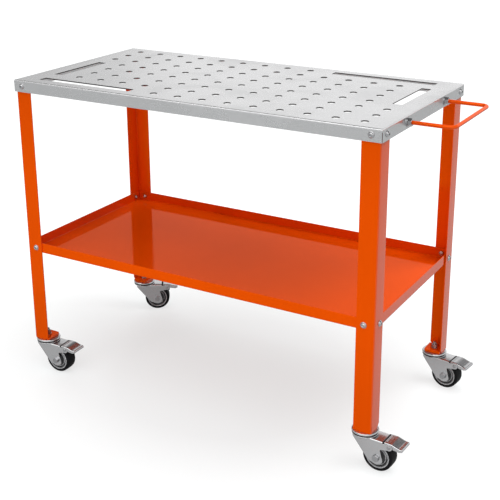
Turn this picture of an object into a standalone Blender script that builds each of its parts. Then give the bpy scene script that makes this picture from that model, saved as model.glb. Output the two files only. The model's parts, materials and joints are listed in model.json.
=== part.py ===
"""Mobile welding table: perforated folded steel top, angle legs, tray shelf, push handle and braked casters.

Metres, +Z up. The origin is on the floor under the centre of the table top, +X towards the push handle.
"""

import math

import bmesh
import bpy
from mathutils import Matrix, Vector

# Fits
CLEARANCE = 0.0003  # between two pieces that touch
RUNNING_GAP = 0.0003  # round a shaft that turns
WELD = 0.00001  # points nearer than this are one point
PIN_SIDES = 8
SHAFT_SIDES = 12

# Table top
TABLE_HEIGHT = 0.737
TOP_LENGTH = 0.914
TOP_WIDTH = 0.457
TOP_SHEET = 0.003
TOP_BEND = 0.0035
APRON_DEPTH = 0.0275
CORNER_SEAM = 0.001
HOLE_DIAMETER = 0.016
HOLE_COLUMNS = 14
HOLE_ROWS = 8
HOLE_MARGIN_X = 0.054
HOLE_MARGIN_Y = 0.0395
HOLE_SIDES = 10
SLOT_WIDTH = 0.022
LONG_SLOT = 0.252
SHORT_SLOT = 0.166
SLOT_WEB = 0.003  # least metal between a slot and a hole

# Legs
LEG_FLANGE = 0.041
LEG_SHEET = 0.0025
LEG_BEND = 0.004
LEG_CHAMFER = 0.008
BASE_SHEET = 0.004
BASE_CUT = 0.014

# Shelf tray
SHELF_HEIGHT = 0.3155
SHELF_SHEET = 0.0015
SHELF_BEND = 0.003
SHELF_LIP = 0.025

# Bolts that join the top, the legs and the shelf
BOLT_HOLE = 0.0066
BOLT_SHANK = 0.0056
BOLT_HEAD = 0.0125
BOLT_HEAD_HEIGHT = 0.0035
BOLT_HEAD_CHAMFER = 0.0015
BOLT_NUT = 0.0115
BOLT_NUT_HEIGHT = 0.005
TOP_BOLT_INSET = 0.023
SHELF_BOLT_INSET = 0.0245

# Push handle
HANDLE_ROD = 0.008
HANDLE_SPREAD = 0.208
HANDLE_REACH = 0.096
HANDLE_BEND = 0.014
HANDLE_NUT_ACROSS = 0.013
HANDLE_NUT_HEIGHT = 0.0065
HANDLE_WASHER = 0.017
WASHER_SHEET = 0.0016
THREAD_TAIL = 0.0015  # how far a thread stands out of its nut

# Caster wheel
WHEEL_RADIUS = 0.034
WHEEL_SIDES = 20
TYRE_WIDTH = 0.0255
TYRE_DEPTH = 0.0078
TYRE_SHOULDER = 0.0026
HUB_WEB = 0.012
HUB_BOSS = 0.010
HUB_DRAFT = 0.001
HUB_RING = 0.003
HUB_SLOPE = 0.002
BUSH_RADIUS = 0.006
AXLE_DIAMETER = 0.008
AXLE_NUT_ACROSS = 0.013
AXLE_NUT_HEIGHT = 0.0055

# Caster swivel
CROWN_SIDES = 16
STEM_INSET = 0.0225
STEM_DIAMETER = 0.012
STEM_NUT_ACROSS = 0.019
STEM_NUT_HEIGHT = 0.010
STEM_WASHER = 0.023
STEM_TAIL = 0.006
STEM_CHAMFER = 0.0009
KING_HEAD = 0.020
KING_HEAD_HEIGHT = 0.004
KING_HEAD_TAPER = 0.002
RACE_DIAMETER = 0.055
RACE_HEIGHT = 0.0068
RACE_SHEET = 0.0022
RACE_SHOULDER = 0.0048
RACE_SHOULDER_DROP = 0.0035
RACE_ROUND = 0.0011
RACE_GAP = 0.0009
BALL_RING_INNER = 0.030
BALL_RING_OUTER = 0.042

# Caster fork, with the points of its side plates measured back and up from the axle
TRAIL = 0.036
FORK_SHEET = 0.0025
FORK_SIDE_GAP = 0.00425
CROWN_DIAMETER = 0.054
CROWN_RISE = 0.009
CROWN_SKIRT = 0.008
ROOF_OVERHANG = 0.013
ROOF_END_RISE = 0.007
FORK_NECK = 0.020
KNEE_BACK = -0.035
KNEE_RISE = 0.010
TOE_BACK = -0.019
TOE_RISE = -0.010
END_RADIUS = 0.0155
END_START = math.radians(235)
END_STOP = math.radians(341)
NOTCH_BACK = 0.0074
NOTCH_RISE = 0.021
HORN_RADIUS = 0.0075
HORN_START = math.radians(-105)
HORN_STOP = math.radians(95)
PIVOT_ANGLE = math.radians(49.8)
PIVOT_TO_TYRE = 0.0086

# Brake, with its points measured back and up from the pedal's pin
PEDAL_SHEET = 0.002
PEDAL_GAP = 0.0015
PEDAL_OVER_HORN = 0.0005
PEDAL_KNEE = 0.007
PEDAL_TREAD = 0.019
PEDAL_SLOPE = math.radians(16)
PEDAL_WIDTH = 0.039
PEDAL_NOSE = 0.006
CHEEK_DEPTH = 0.011
EAR_RADIUS = 0.0055
EAR_GAP = 0.0006
PIN_DIAMETER = 0.005
PIN_HEAD = 0.0012
PIN_HEAD_BASE = 0.0085
PIN_HEAD_TOP = 0.007
SHOE_BACK = 0.0035
SHOE_LENGTH = 0.004
SHOE_WIDTH = 0.020
SHOE_GAP = 0.0034

CORNERS = {
    "front_left": (-1, -1),
    "front_right": (1, -1),
    "rear_left": (-1, 1),
    "rear_right": (1, 1),
}
CASTER_YAW = {"front_left": 2, "front_right": -3, "rear_left": 33, "rear_right": -7}

# Heights and places worked out from the sizes above
AXLE_HEIGHT = WHEEL_RADIUS
CROWN_TOP = 2 * WHEEL_RADIUS + CROWN_RISE
RACE_BOTTOM = CROWN_TOP + RACE_GAP
RACE_TOP = RACE_BOTTOM + RACE_HEIGHT
LEG_FOOT = RACE_TOP + CLEARANCE
SHEET_UNDERSIDE = TABLE_HEIGHT - TOP_SHEET
FOLD_ROOM = TOP_BEND - 0.7 * TOP_SHEET  # depth of the bend inside the apron
LEG_TOP = SHEET_UNDERSIDE - FOLD_ROOM - CLEARANCE
LEG_X = TOP_LENGTH / 2 - TOP_SHEET - CLEARANCE
LEG_Y = TOP_WIDTH / 2 - TOP_SHEET - CLEARANCE
SHELF_FIT = CLEARANCE + (1 - math.sqrt(0.5)) * (LEG_BEND - LEG_SHEET)  # clears the bend inside the leg
SHELF_X = LEG_X - LEG_SHEET - SHELF_FIT
SHELF_Y = LEG_Y - LEG_SHEET - SHELF_FIT
TOP_BOLT_Z = TABLE_HEIGHT - APRON_DEPTH / 2
SHELF_BOLT_Z = SHELF_HEIGHT + SHELF_LIP / 2
FORK_INNER = TYRE_WIDTH / 2 + FORK_SIDE_GAP
FORK_OUTER = FORK_INNER + FORK_SHEET
ROOF_END = TRAIL + ROOF_OVERHANG
ROOF_END_TOP = 2 * WHEEL_RADIUS + ROOF_END_RISE
PIVOT_X = TRAIL + (WHEEL_RADIUS + PIVOT_TO_TYRE) * math.cos(PIVOT_ANGLE)
PIVOT_Z = AXLE_HEIGHT + (WHEEL_RADIUS + PIVOT_TO_TYRE) * math.sin(PIVOT_ANGLE)

ZINC = ((0.68, 0.68, 0.69), 0.35, 0.9)
ORANGE = ((0.76, 0.065, 0.004), 0.2, 0.0)
BRIGHT = ((0.72, 0.72, 0.73), 0.22, 1.0)
RUBBER = ((0.012, 0.012, 0.013), 0.7, 0.0)
GREY = ((0.22, 0.22, 0.23), 0.45, 0.0)


# Scene and mesh helpers


def clear_scene():
    for obj in list(bpy.data.objects):
        bpy.data.objects.remove(obj)


def new_collection(name):
    collection = bpy.data.collections.new(name)
    bpy.context.scene.collection.children.link(collection)
    return collection


def place(name, mesh, finish, parent=None, location=(0, 0, 0)):
    """A named sub-part with its own material."""
    colour, roughness, metallic = finish
    material = bpy.data.materials.new(name)
    material.use_nodes = True
    shader = material.node_tree.nodes["Principled BSDF"]
    shader.inputs["Base Color"].default_value = (*colour, 1)
    shader.inputs["Roughness"].default_value = roughness
    shader.inputs["Metallic"].default_value = metallic
    obj = bpy.data.objects.new(name, mesh)
    obj.data.materials.append(material)
    obj.parent = parent
    obj.location = location
    PARTS.objects.link(obj)
    return obj


def cut(obj, mesh, operation="DIFFERENCE"):
    """Cuts the mesh, given in the object's own frame, from the object, or joins it on."""
    helper = bpy.data.objects.new(f"{obj.name}_{operation.lower()}", mesh)
    helper.parent = obj
    helper.hide_render = True
    helper.display_type = "WIRE"
    CUTTERS.objects.link(helper)
    modifier = obj.modifiers.new(helper.name, "BOOLEAN")
    modifier.operation = operation
    modifier.object = helper


def from_bmesh(bm):
    mesh = bpy.data.meshes.new("shape")
    bm.to_mesh(mesh)
    bm.free()
    return mesh


def bake(helper):
    """The mesh that a helper object's curve or modifiers give, welded and facing out. Removes the helper."""
    CUTTERS.objects.link(helper)
    graph = bpy.context.evaluated_depsgraph_get()
    mesh = bpy.data.meshes.new_from_object(helper.evaluated_get(graph))
    bpy.data.objects.remove(helper)
    bm = bmesh.new()
    bm.from_mesh(mesh)
    bmesh.ops.remove_doubles(bm, verts=bm.verts, dist=WELD)
    bmesh.ops.recalc_face_normals(bm, faces=bm.faces)
    bm.to_mesh(mesh)
    bm.free()
    return mesh


def join(meshes):
    """Several closed meshes as one."""
    bm = bmesh.new()
    for mesh in meshes:
        bm.from_mesh(mesh)
    return from_bmesh(bm)


def moved(mesh, matrix):
    copy = mesh.copy()
    copy.transform(matrix)
    return copy


def box(low, high):
    low, high = Vector(low), Vector(high)
    bm = bmesh.new()
    bmesh.ops.create_cube(bm, size=1)
    bmesh.ops.scale(bm, vec=high - low, verts=bm.verts)
    bmesh.ops.translate(bm, vec=(low + high) / 2, verts=bm.verts)
    return from_bmesh(bm)


def cylinder(radius, low, high, sides):
    bm = bmesh.new()
    bmesh.ops.create_cone(
        bm, cap_ends=True, segments=sides, radius1=radius, radius2=radius, depth=high - low
    )
    bmesh.ops.translate(bm, vec=(0, 0, (low + high) / 2), verts=bm.verts)
    return from_bmesh(bm)


def prism(loops, low, high):
    """Outlines in X and Y, the first with the others as holes in it, as a solid from low to high."""
    curve = bpy.data.curves.new("outline", "CURVE")
    curve.dimensions = "2D"
    curve.fill_mode = "BOTH"
    curve.extrude = (high - low) / 2
    for loop in loops:
        spline = curve.splines.new("POLY")
        spline.points.add(len(loop) - 1)
        for point, (x, y) in zip(spline.points, loop):
            point.co = (x, y, 0, 1)
        spline.use_cyclic_u = True
    mesh = bake(bpy.data.objects.new("outline", curve))
    mesh.transform(Matrix.Translation((0, 0, (low + high) / 2)))
    return mesh


def side_prism(loops, low, high):
    """Outlines in X and Z as a solid that runs from low to high along Y."""
    mesh = prism(loops, -high, -low)
    mesh.transform(Matrix.Rotation(math.radians(90), 4, "X"))
    return mesh


def turned(profile, sides, closed=True):
    """A profile of radius and height, turned about Z."""
    bm = bmesh.new()
    points = [bm.verts.new((radius, 0, height)) for radius, height in profile]
    for start, end in zip(points, points[1:]):
        bm.edges.new((start, end))
    if closed:
        bm.edges.new((points[-1], points[0]))
    helper = bpy.data.objects.new("profile", from_bmesh(bm))
    screw = helper.modifiers.new("turn", "SCREW")
    screw.steps = sides
    screw.render_steps = sides
    screw.use_merge_vertices = True
    screw.merge_threshold = WELD
    return bake(helper)


def turned_wheel(profile):
    """A profile of radius and half-width turned about Y, with a flat of the polygon at the bottom."""
    flat = 1 / math.cos(math.pi / WHEEL_SIDES)
    mesh = turned([(radius * flat, width) for radius, width in profile], WHEEL_SIDES)
    half_step = Matrix.Rotation(math.pi / 2 + math.pi / WHEEL_SIDES, 4, "Z")
    mesh.transform(Matrix.Rotation(math.radians(90), 4, "X") @ half_step)
    return mesh


def circle(centre, radius, sides):
    return arc(centre, radius, 0, 2 * math.pi * (1 - 1 / sides), sides)


def arc(centre, radius, start, end, count):
    """Points on an arc, angles in radians."""
    steps = [start + (end - start) * i / (count - 1) for i in range(count)]
    return [(centre[0] + radius * math.cos(a), centre[1] + radius * math.sin(a)) for a in steps]


def hole(radius, centre=(0, 0)):
    """A polygon that a round bar of this radius passes through."""
    return circle(centre, radius / math.cos(math.pi / PIN_SIDES), PIN_SIDES)


def hexagon(across):
    return circle((0, 0), across / math.sqrt(3), 6)


def facing(direction, point):
    """Turns +Z to a direction and moves the origin to a point."""
    return Matrix.Translation(point) @ Vector(direction).to_track_quat("Z", "Y").to_matrix().to_4x4()


def bend_edges(bm, height, radius):
    """Rounds the edges of a box that lie at one height, as a press brake does."""
    edges = [e for e in bm.edges if all(abs(v.co.z - height) < WELD for v in e.verts)]
    bmesh.ops.bevel(bm, geom=edges, offset=radius, segments=2, profile=0.5, affect="EDGES")


def folded_tray(length, width, floor, rim, sheet, bend):
    """A sheet folded up or down on four sides, from its floor's outer face to its rim."""
    bm = bmesh.new()
    bmesh.ops.create_cube(bm, size=1)
    bmesh.ops.scale(bm, vec=(length, width, abs(rim - floor)), verts=bm.verts)
    bmesh.ops.translate(bm, vec=(0, 0, (floor + rim) / 2), verts=bm.verts)
    mouth = [f for f in bm.faces if all(abs(v.co.z - rim) < WELD for v in f.verts)]
    bmesh.ops.delete(bm, geom=mouth, context="FACES_ONLY")
    bend_edges(bm, floor, bend)
    helper = bpy.data.objects.new("tray", from_bmesh(bm))
    solidify = helper.modifiers.new("sheet", "SOLIDIFY")
    solidify.thickness = sheet
    solidify.offset = -1
    solidify.use_even_offset = True
    return bake(helper)


def corner_seams(length, width, low, high, sheet):
    """Thin upright blades across the four corners, where folded edges meet without a weld."""
    blades = []
    for sx, sy in CORNERS.values():
        reach = 3 * sheet
        blade = box((-reach, -CORNER_SEAM / 2, low), (reach, CORNER_SEAM / 2, high))
        turn = Matrix.Rotation(math.radians(45 * sx * sy), 4, "Z")
        blades.append(moved(blade, Matrix.Translation((sx * length / 2, sy * width / 2, 0)) @ turn))
    return join(blades)


# Fasteners


def bolt_sites(face_x, face_y, inset, height):
    """Point on the outer face and outward direction of two bolts at each corner."""
    sites = []
    for sx, sy in CORNERS.values():
        sites.append(((sx * (face_x - inset), sy * face_y, height), (0, sy, 0)))
        sites.append(((sx * face_x, sy * (face_y - inset), height), (sx, 0, 0)))
    return sites


TOP_SITES = bolt_sites(TOP_LENGTH / 2, TOP_WIDTH / 2, TOP_BOLT_INSET, TOP_BOLT_Z)
SHELF_SITES = bolt_sites(LEG_X, LEG_Y, SHELF_BOLT_INSET, SHELF_BOLT_Z)


def at_sites(mesh, sites):
    return join([moved(mesh, facing(direction, point)) for point, direction in sites])


def bolt_holes(sites):
    """Cutters through the sheets that a row of bolts holds."""
    depth = TOP_SHEET + LEG_SHEET + SHELF_SHEET
    return at_sites(cylinder(BOLT_HOLE / 2, -2 * depth, depth, PIN_SIDES), sites)


def bolts(sites, head_seat, nut_seat):
    """Bolts with their nuts, each seat measured along the bolt from the outer face, out and in."""
    shank, head, nut = BOLT_SHANK / 2, BOLT_HEAD / 2, BOLT_NUT / 2
    top = head_seat + BOLT_HEAD_HEIGHT
    end = -nut_seat - BOLT_NUT_HEIGHT
    profile = [(0, top), (head - BOLT_HEAD_CHAMFER, top), (head, top - BOLT_HEAD_CHAMFER), (head, head_seat)]
    profile += [(shank, head_seat), (shank, -nut_seat), (nut, -nut_seat), (nut, end), (0, end)]
    return at_sites(turned(profile, 6, closed=False), sites)


def hex_nut(across, height, bore):
    """Hexagon nut on the origin's plane."""
    return prism([hexagon(across), hole(bore)], 0, height)


def place_flange_nut(name, across, height, washer, bore, matrix):
    """Hexagon nut with a round flange below it."""
    nut = place(name, moved(hex_nut(across, WASHER_SHEET + height, bore), matrix), BRIGHT)
    flange = [circle((0, 0), washer / 2, SHAFT_SIDES), hole(bore + CLEARANCE)]
    cut(nut, moved(prism(flange, 0, WASHER_SHEET), matrix), "UNION")


# Table top


def slots():
    """Centre and half sizes of the four slots. Each pair is turned half a turn about the table's centre."""
    pitch_x = (TOP_LENGTH - 2 * HOLE_MARGIN_X) / (HOLE_COLUMNS - 1)
    pitch_y = (TOP_WIDTH - 2 * HOLE_MARGIN_Y) / (HOLE_ROWS - 1)
    edge_x = TOP_LENGTH / 2 - HOLE_MARGIN_X
    edge_y = TOP_WIDTH / 2 - HOLE_MARGIN_Y
    found = []
    for turn in (1, -1):
        found.append((turn * (edge_x - 2 * pitch_x), turn * edge_y, LONG_SLOT / 2, SLOT_WIDTH / 2))
        found.append((turn * edge_x, turn * pitch_y, SLOT_WIDTH / 2, SHORT_SLOT / 2))
    return found


def hole_centres():
    """The grid of fixture holes, less those that a slot takes up."""
    least = HOLE_DIAMETER / 2 + SLOT_WEB
    centres = []
    for column in range(HOLE_COLUMNS):
        for row in range(HOLE_ROWS):
            x = (column / (HOLE_COLUMNS - 1) - 0.5) * (TOP_LENGTH - 2 * HOLE_MARGIN_X)
            y = (row / (HOLE_ROWS - 1) - 0.5) * (TOP_WIDTH - 2 * HOLE_MARGIN_Y)
            if not any(abs(x - cx) < hx + least and abs(y - cy) < hy + least for cx, cy, hx, hy in slots()):
                centres.append((x, y))
    return centres


def make_top():
    mesh = folded_tray(
        TOP_LENGTH, TOP_WIDTH, TABLE_HEIGHT, TABLE_HEIGHT - APRON_DEPTH, TOP_SHEET, TOP_BEND
    )
    top = place("table_top", mesh, ZINC)
    low = SHEET_UNDERSIDE - TOP_SHEET
    high = TABLE_HEIGHT + TOP_SHEET
    drill = cylinder(HOLE_DIAMETER / 2, low, high, HOLE_SIDES)
    openings = [moved(drill, Matrix.Translation((x, y, 0))) for x, y in hole_centres()]
    openings += [box((x - hx, y - hy, low), (x + hx, y + hy, high)) for x, y, hx, hy in slots()]
    cut(top, join(openings))
    seam_top = SHEET_UNDERSIDE - TOP_BEND
    seam_bottom = TABLE_HEIGHT - APRON_DEPTH - TOP_SHEET
    cut(top, corner_seams(TOP_LENGTH, TOP_WIDTH, seam_bottom, seam_top, TOP_SHEET))
    rod_hole = cylinder(HANDLE_ROD / 2 + CLEARANCE, -2 * TOP_SHEET, TOP_SHEET, SHAFT_SIDES)
    cut(top, at_sites(rod_hole, handle_sites()))
    inside_leg = TOP_SHEET + CLEARANCE + LEG_SHEET + CLEARANCE
    cut(top, bolts(TOP_SITES, -TOP_SHEET / 2, inside_leg), "UNION")


# Legs


def make_leg(name, sx, sy):
    """Angle with its outer corner at the origin and its foot at height 0, and a base plate for the caster."""

    def inward(points):
        return [(-sx * x, -sy * y) for x, y in points]

    length = LEG_TOP - LEG_FOOT
    inside = LEG_BEND - LEG_SHEET
    outline = arc((LEG_BEND, LEG_BEND), LEG_BEND, 1.5 * math.pi, math.pi, 4)
    outline += [(0, LEG_FLANGE), (LEG_SHEET, LEG_FLANGE)]
    outline += arc((LEG_BEND, LEG_BEND), inside, math.pi, 1.5 * math.pi, 3)
    outline += [(LEG_FLANGE, LEG_SHEET), (LEG_FLANGE, 0)]
    corner = (sx * LEG_X, sy * LEG_Y, LEG_FOOT)
    leg = place(f"leg_{name}", prism([inward(outline)], 0, length), ORANGE, None, corner)
    low = LEG_FLANGE - LEG_CHAMFER
    wedge = [(low - LEG_CHAMFER, -LEG_CHAMFER), (LEG_FLANGE + LEG_CHAMFER, -LEG_CHAMFER)]
    wedge += [(LEG_FLANGE + LEG_CHAMFER, 2 * LEG_CHAMFER)]
    along_x = side_prism([wedge], -LEG_SHEET, 1.5 * LEG_SHEET)
    along_y = moved(along_x, Matrix(((0, 1, 0, 0), (1, 0, 0, 0), (0, 0, 1, 0), (0, 0, 0, 1))))
    along_y.flip_normals()
    chamfers = join([along_x, along_y])
    chamfers.transform(Matrix.Diagonal((-sx, -sy, 1, 1)))
    if sx * sy < 0:
        chamfers.flip_normals()
    cut(leg, chamfers)
    root = LEG_SHEET / 2
    far = LEG_FLANGE - CLEARANCE
    plate = [(root, root), (far, root), (far, far - BASE_CUT), (far - BASE_CUT, far), (root, far)]
    cut(leg, prism([inward(plate)], 0, BASE_SHEET), "UNION")
    stem_hole = cylinder(STEM_DIAMETER / 2 + CLEARANCE, -BASE_SHEET, 2 * BASE_SHEET, SHAFT_SIDES)
    cut(leg, moved(stem_hole, Matrix.Translation((-sx * STEM_INSET, -sy * STEM_INSET, 0))))
    sites = [site for site in TOP_SITES + SHELF_SITES if site[0][0] * sx > 0 and site[0][1] * sy > 0]
    holes = bolt_holes(sites)
    holes.transform(Matrix.Translation((-sx * LEG_X, -sy * LEG_Y, -LEG_FOOT)))
    cut(leg, holes)


# Shelf


def make_shelf():
    rim = SHELF_HEIGHT + SHELF_LIP
    mesh = folded_tray(2 * SHELF_X, 2 * SHELF_Y, SHELF_HEIGHT, rim, SHELF_SHEET, SHELF_BEND)
    shelf = place("shelf_tray", mesh, ORANGE)
    seam_low = SHELF_HEIGHT + SHELF_SHEET + SHELF_BEND
    cut(shelf, corner_seams(2 * SHELF_X, 2 * SHELF_Y, seam_low, rim + SHELF_SHEET, SHELF_SHEET))
    cut(shelf, bolts(SHELF_SITES, CLEARANCE, LEG_SHEET + SHELF_FIT + SHELF_SHEET / 2), "UNION")


# Push handle


def handle_sites():
    return [((TOP_LENGTH / 2, side * HANDLE_SPREAD / 2, TOP_BOLT_Z), (1, 0, 0)) for side in (-1, 1)]


def make_handle():
    """Round rod bent to a U, with threaded ends through the apron and a nut on each side of it."""
    face = TOP_LENGTH / 2
    end = face - TOP_SHEET - CLEARANCE - HANDLE_NUT_HEIGHT - THREAD_TAIL
    far = face + HANDLE_REACH
    bend = (far - HANDLE_BEND, HANDLE_SPREAD / 2 - HANDLE_BEND)
    path = [(end, -HANDLE_SPREAD / 2)]
    path += arc((bend[0], -bend[1]), HANDLE_BEND, -math.pi / 2, 0, 6)
    path += arc(bend, HANDLE_BEND, 0, math.pi / 2, 6)
    path += [(end, HANDLE_SPREAD / 2)]
    curve = bpy.data.curves.new("push_handle", "CURVE")
    curve.dimensions = "3D"
    curve.bevel_depth = HANDLE_ROD / 2
    curve.bevel_resolution = 2
    curve.use_fill_caps = True
    spline = curve.splines.new("POLY")
    spline.points.add(len(path) - 1)
    for point, (x, y) in zip(spline.points, path):
        point.co = (x, y, 0, 1)
    place("push_handle", bake(bpy.data.objects.new("rod", curve)), ORANGE, None, (0, 0, TOP_BOLT_Z))
    bore = HANDLE_ROD / 2 + CLEARANCE
    for name, (point, direction) in zip(("front", "rear"), handle_sites()):
        outside = facing(direction, point) @ Matrix.Translation((0, 0, CLEARANCE))
        across, height = HANDLE_NUT_ACROSS, HANDLE_NUT_HEIGHT
        place_flange_nut(f"handle_nut_{name}", across, height, HANDLE_WASHER, bore, outside)
        inside = facing(direction, point) @ Matrix.Translation((0, 0, -TOP_SHEET - CLEARANCE - height))
        place(f"handle_lock_nut_{name}", moved(hex_nut(across, height, bore), inside), BRIGHT)


# Casters


def race_mesh():
    """Dished ring under the base plate, with a skirt round the balls."""
    outer = RACE_DIAMETER / 2
    bore = STEM_DIAMETER / 2 + CLEARANCE
    profile = [
        (bore, RACE_TOP),
        (outer - RACE_SHOULDER, RACE_TOP),
        (outer - RACE_ROUND, RACE_TOP - RACE_ROUND),
        (outer, RACE_TOP - RACE_SHOULDER_DROP),
        (outer, RACE_BOTTOM),
        (outer - RACE_SHEET, RACE_BOTTOM),
        (outer - RACE_SHEET, RACE_TOP - RACE_SHEET),
        (bore, RACE_TOP - RACE_SHEET),
    ]
    return turned(profile, CROWN_SIDES)


def ball_ring_mesh():
    """The balls and their cage as one plain ring."""
    low = CROWN_TOP + CLEARANCE
    high = RACE_TOP - RACE_SHEET - CLEARANCE
    inner, outer = BALL_RING_INNER / 2, BALL_RING_OUTER / 2
    middle = (inner + outer) / 2
    return turned([(middle, high), (outer, (low + high) / 2), (middle, low), (inner, (low + high) / 2)], SHAFT_SIDES)


def king_pin_mesh():
    """Stem through the base plate, with a riveted head under the fork's crown."""
    stem = STEM_DIAMETER / 2
    head = KING_HEAD / 2
    head_top = CROWN_TOP - FORK_SHEET - CLEARANCE
    head_bottom = head_top - KING_HEAD_HEIGHT
    top = LEG_FOOT + BASE_SHEET + CLEARANCE + WASHER_SHEET + STEM_NUT_HEIGHT + STEM_TAIL
    profile = [
        (0, top),
        (stem - STEM_CHAMFER, top),
        (stem, top - STEM_CHAMFER),
        (stem, head_top),
        (head, head_top),
        (head - KING_HEAD_TAPER, head_bottom),
        (0, head_bottom),
    ]
    return turned(profile, SHAFT_SIDES, closed=False)


def fork_outline():
    """Side plate: slanted front edge, round end about the axle, notch, and a horn round the pedal's pin."""
    outline = [(-FORK_NECK, CROWN_TOP), (-FORK_NECK, CROWN_TOP - CROWN_SKIRT)]
    outline += [(TRAIL + KNEE_BACK, AXLE_HEIGHT + KNEE_RISE), (TRAIL + TOE_BACK, AXLE_HEIGHT + TOE_RISE)]
    outline += arc((TRAIL, AXLE_HEIGHT), END_RADIUS, END_START, END_STOP, 6)
    outline += [(TRAIL + NOTCH_BACK, AXLE_HEIGHT + NOTCH_RISE)]
    outline += arc((PIVOT_X, PIVOT_Z), HORN_RADIUS, HORN_START, HORN_STOP, 8)
    outline += [(ROOF_END, ROOF_END_TOP - FORK_SHEET), (ROOF_END, ROOF_END_TOP)]
    outline += [(CROWN_DIAMETER / 2, CROWN_TOP)]
    return outline


def make_fork(name, empty):
    """Pressed fork: a channel over the wheel, with a dished crown that carries the balls."""
    fork = place(name, side_prism([fork_outline()], -FORK_OUTER, FORK_OUTER), BRIGHT, empty)
    rim = CROWN_DIAMETER / 2
    under = CROWN_TOP - FORK_SHEET
    skirt_low = CROWN_TOP - CROWN_SKIRT
    crown = [(0, CROWN_TOP), (rim, CROWN_TOP), (rim, under), (FORK_OUTER, skirt_low), (0, skirt_low)]
    cut(fork, turned(crown, CROWN_SIDES, closed=False), "UNION")
    dish = [(0, under), (rim - FORK_SHEET, under), (FORK_INNER, skirt_low)]
    dish += [(FORK_INNER, skirt_low - CROWN_SKIRT), (0, skirt_low - CROWN_SKIRT)]
    cut(fork, turned(dish, CROWN_SIDES, closed=False))
    back = TRAIL + 2 * WHEEL_RADIUS
    channel = [(-CROWN_DIAMETER, under), (rim - FORK_SHEET, under)]
    channel += [(ROOF_END, ROOF_END_TOP - FORK_SHEET), (ROOF_END, CROWN_TOP)]
    channel += [(back, CROWN_TOP), (back, -WHEEL_RADIUS), (-CROWN_DIAMETER, -WHEEL_RADIUS)]
    cut(fork, side_prism([channel], -FORK_INNER, FORK_INNER))
    bore = STEM_DIAMETER / 2 + 2 * RUNNING_GAP
    cut(fork, cylinder(bore, skirt_low, CROWN_TOP + CROWN_SKIRT, SHAFT_SIDES))
    across = FORK_OUTER + FORK_SHEET
    holes = [
        side_prism([hole(AXLE_DIAMETER / 2 + CLEARANCE, (TRAIL, AXLE_HEIGHT))], -across, across),
        side_prism([hole(PIN_DIAMETER / 2 + CLEARANCE, (PIVOT_X, PIVOT_Z))], -across, across),
    ]
    cut(fork, join(holes))


def make_axle(name, empty):
    """Bolt across the fork along Y with a hexagon head, and its nut on the far side."""
    shank = AXLE_DIAMETER / 2
    seat = FORK_OUTER + CLEARANCE
    end = seat + AXLE_NUT_HEIGHT + THREAD_TAIL
    upright = Matrix.Rotation(math.radians(90), 4, "X")
    axle = (TRAIL, 0, AXLE_HEIGHT)
    shaft = cylinder(shank, -end, seat + AXLE_NUT_HEIGHT / 2, PIN_SIDES)
    bolt = place(f"axle_bolt_{name}", moved(shaft, upright), BRIGHT, empty, axle)
    head = prism([hexagon(AXLE_NUT_ACROSS)], seat, seat + AXLE_NUT_HEIGHT)
    cut(bolt, moved(head, upright), "UNION")
    nut = hex_nut(AXLE_NUT_ACROSS, AXLE_NUT_HEIGHT, shank + CLEARANCE)
    far_side = upright @ Matrix.Translation((0, 0, -seat - AXLE_NUT_HEIGHT))
    place(f"axle_nut_{name}", moved(nut, far_side), BRIGHT, empty, axle)


def bush_mesh():
    half = FORK_INNER - CLEARANCE
    bore = AXLE_DIAMETER / 2 + CLEARANCE
    mesh = prism([circle((0, 0), BUSH_RADIUS, SHAFT_SIDES), hole(bore)], -half, half)
    mesh.transform(Matrix.Rotation(math.radians(90), 4, "X"))
    return mesh


def tyre_mesh():
    half = TYRE_WIDTH / 2
    bead = WHEEL_RADIUS - TYRE_DEPTH
    right = [(bead, half - TYRE_SHOULDER), (bead + TYRE_SHOULDER, half)]
    right += [(WHEEL_RADIUS - TYRE_SHOULDER, half), (WHEEL_RADIUS, half - TYRE_SHOULDER)]
    left = [(radius, -width) for radius, width in reversed(right)]
    return turned_wheel(right + left)


def hub_mesh():
    """Wheel centre with a boss on the bush, a thin web and a raised ring inside each side of the tyre."""
    rim = WHEEL_RADIUS - TYRE_DEPTH - CLEARANCE
    ring = TYRE_WIDTH / 2 - TYRE_SHOULDER
    web = HUB_WEB / 2
    boss = FORK_INNER - RUNNING_GAP - CLEARANCE
    right = [(BUSH_RADIUS + RUNNING_GAP, boss), (HUB_BOSS, boss), (HUB_BOSS + HUB_DRAFT, web)]
    right += [(rim - HUB_RING - HUB_SLOPE, web), (rim - HUB_RING, ring), (rim, ring)]
    left = [(radius, -width) for radius, width in reversed(right)]
    return turned_wheel(right + left)


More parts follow.
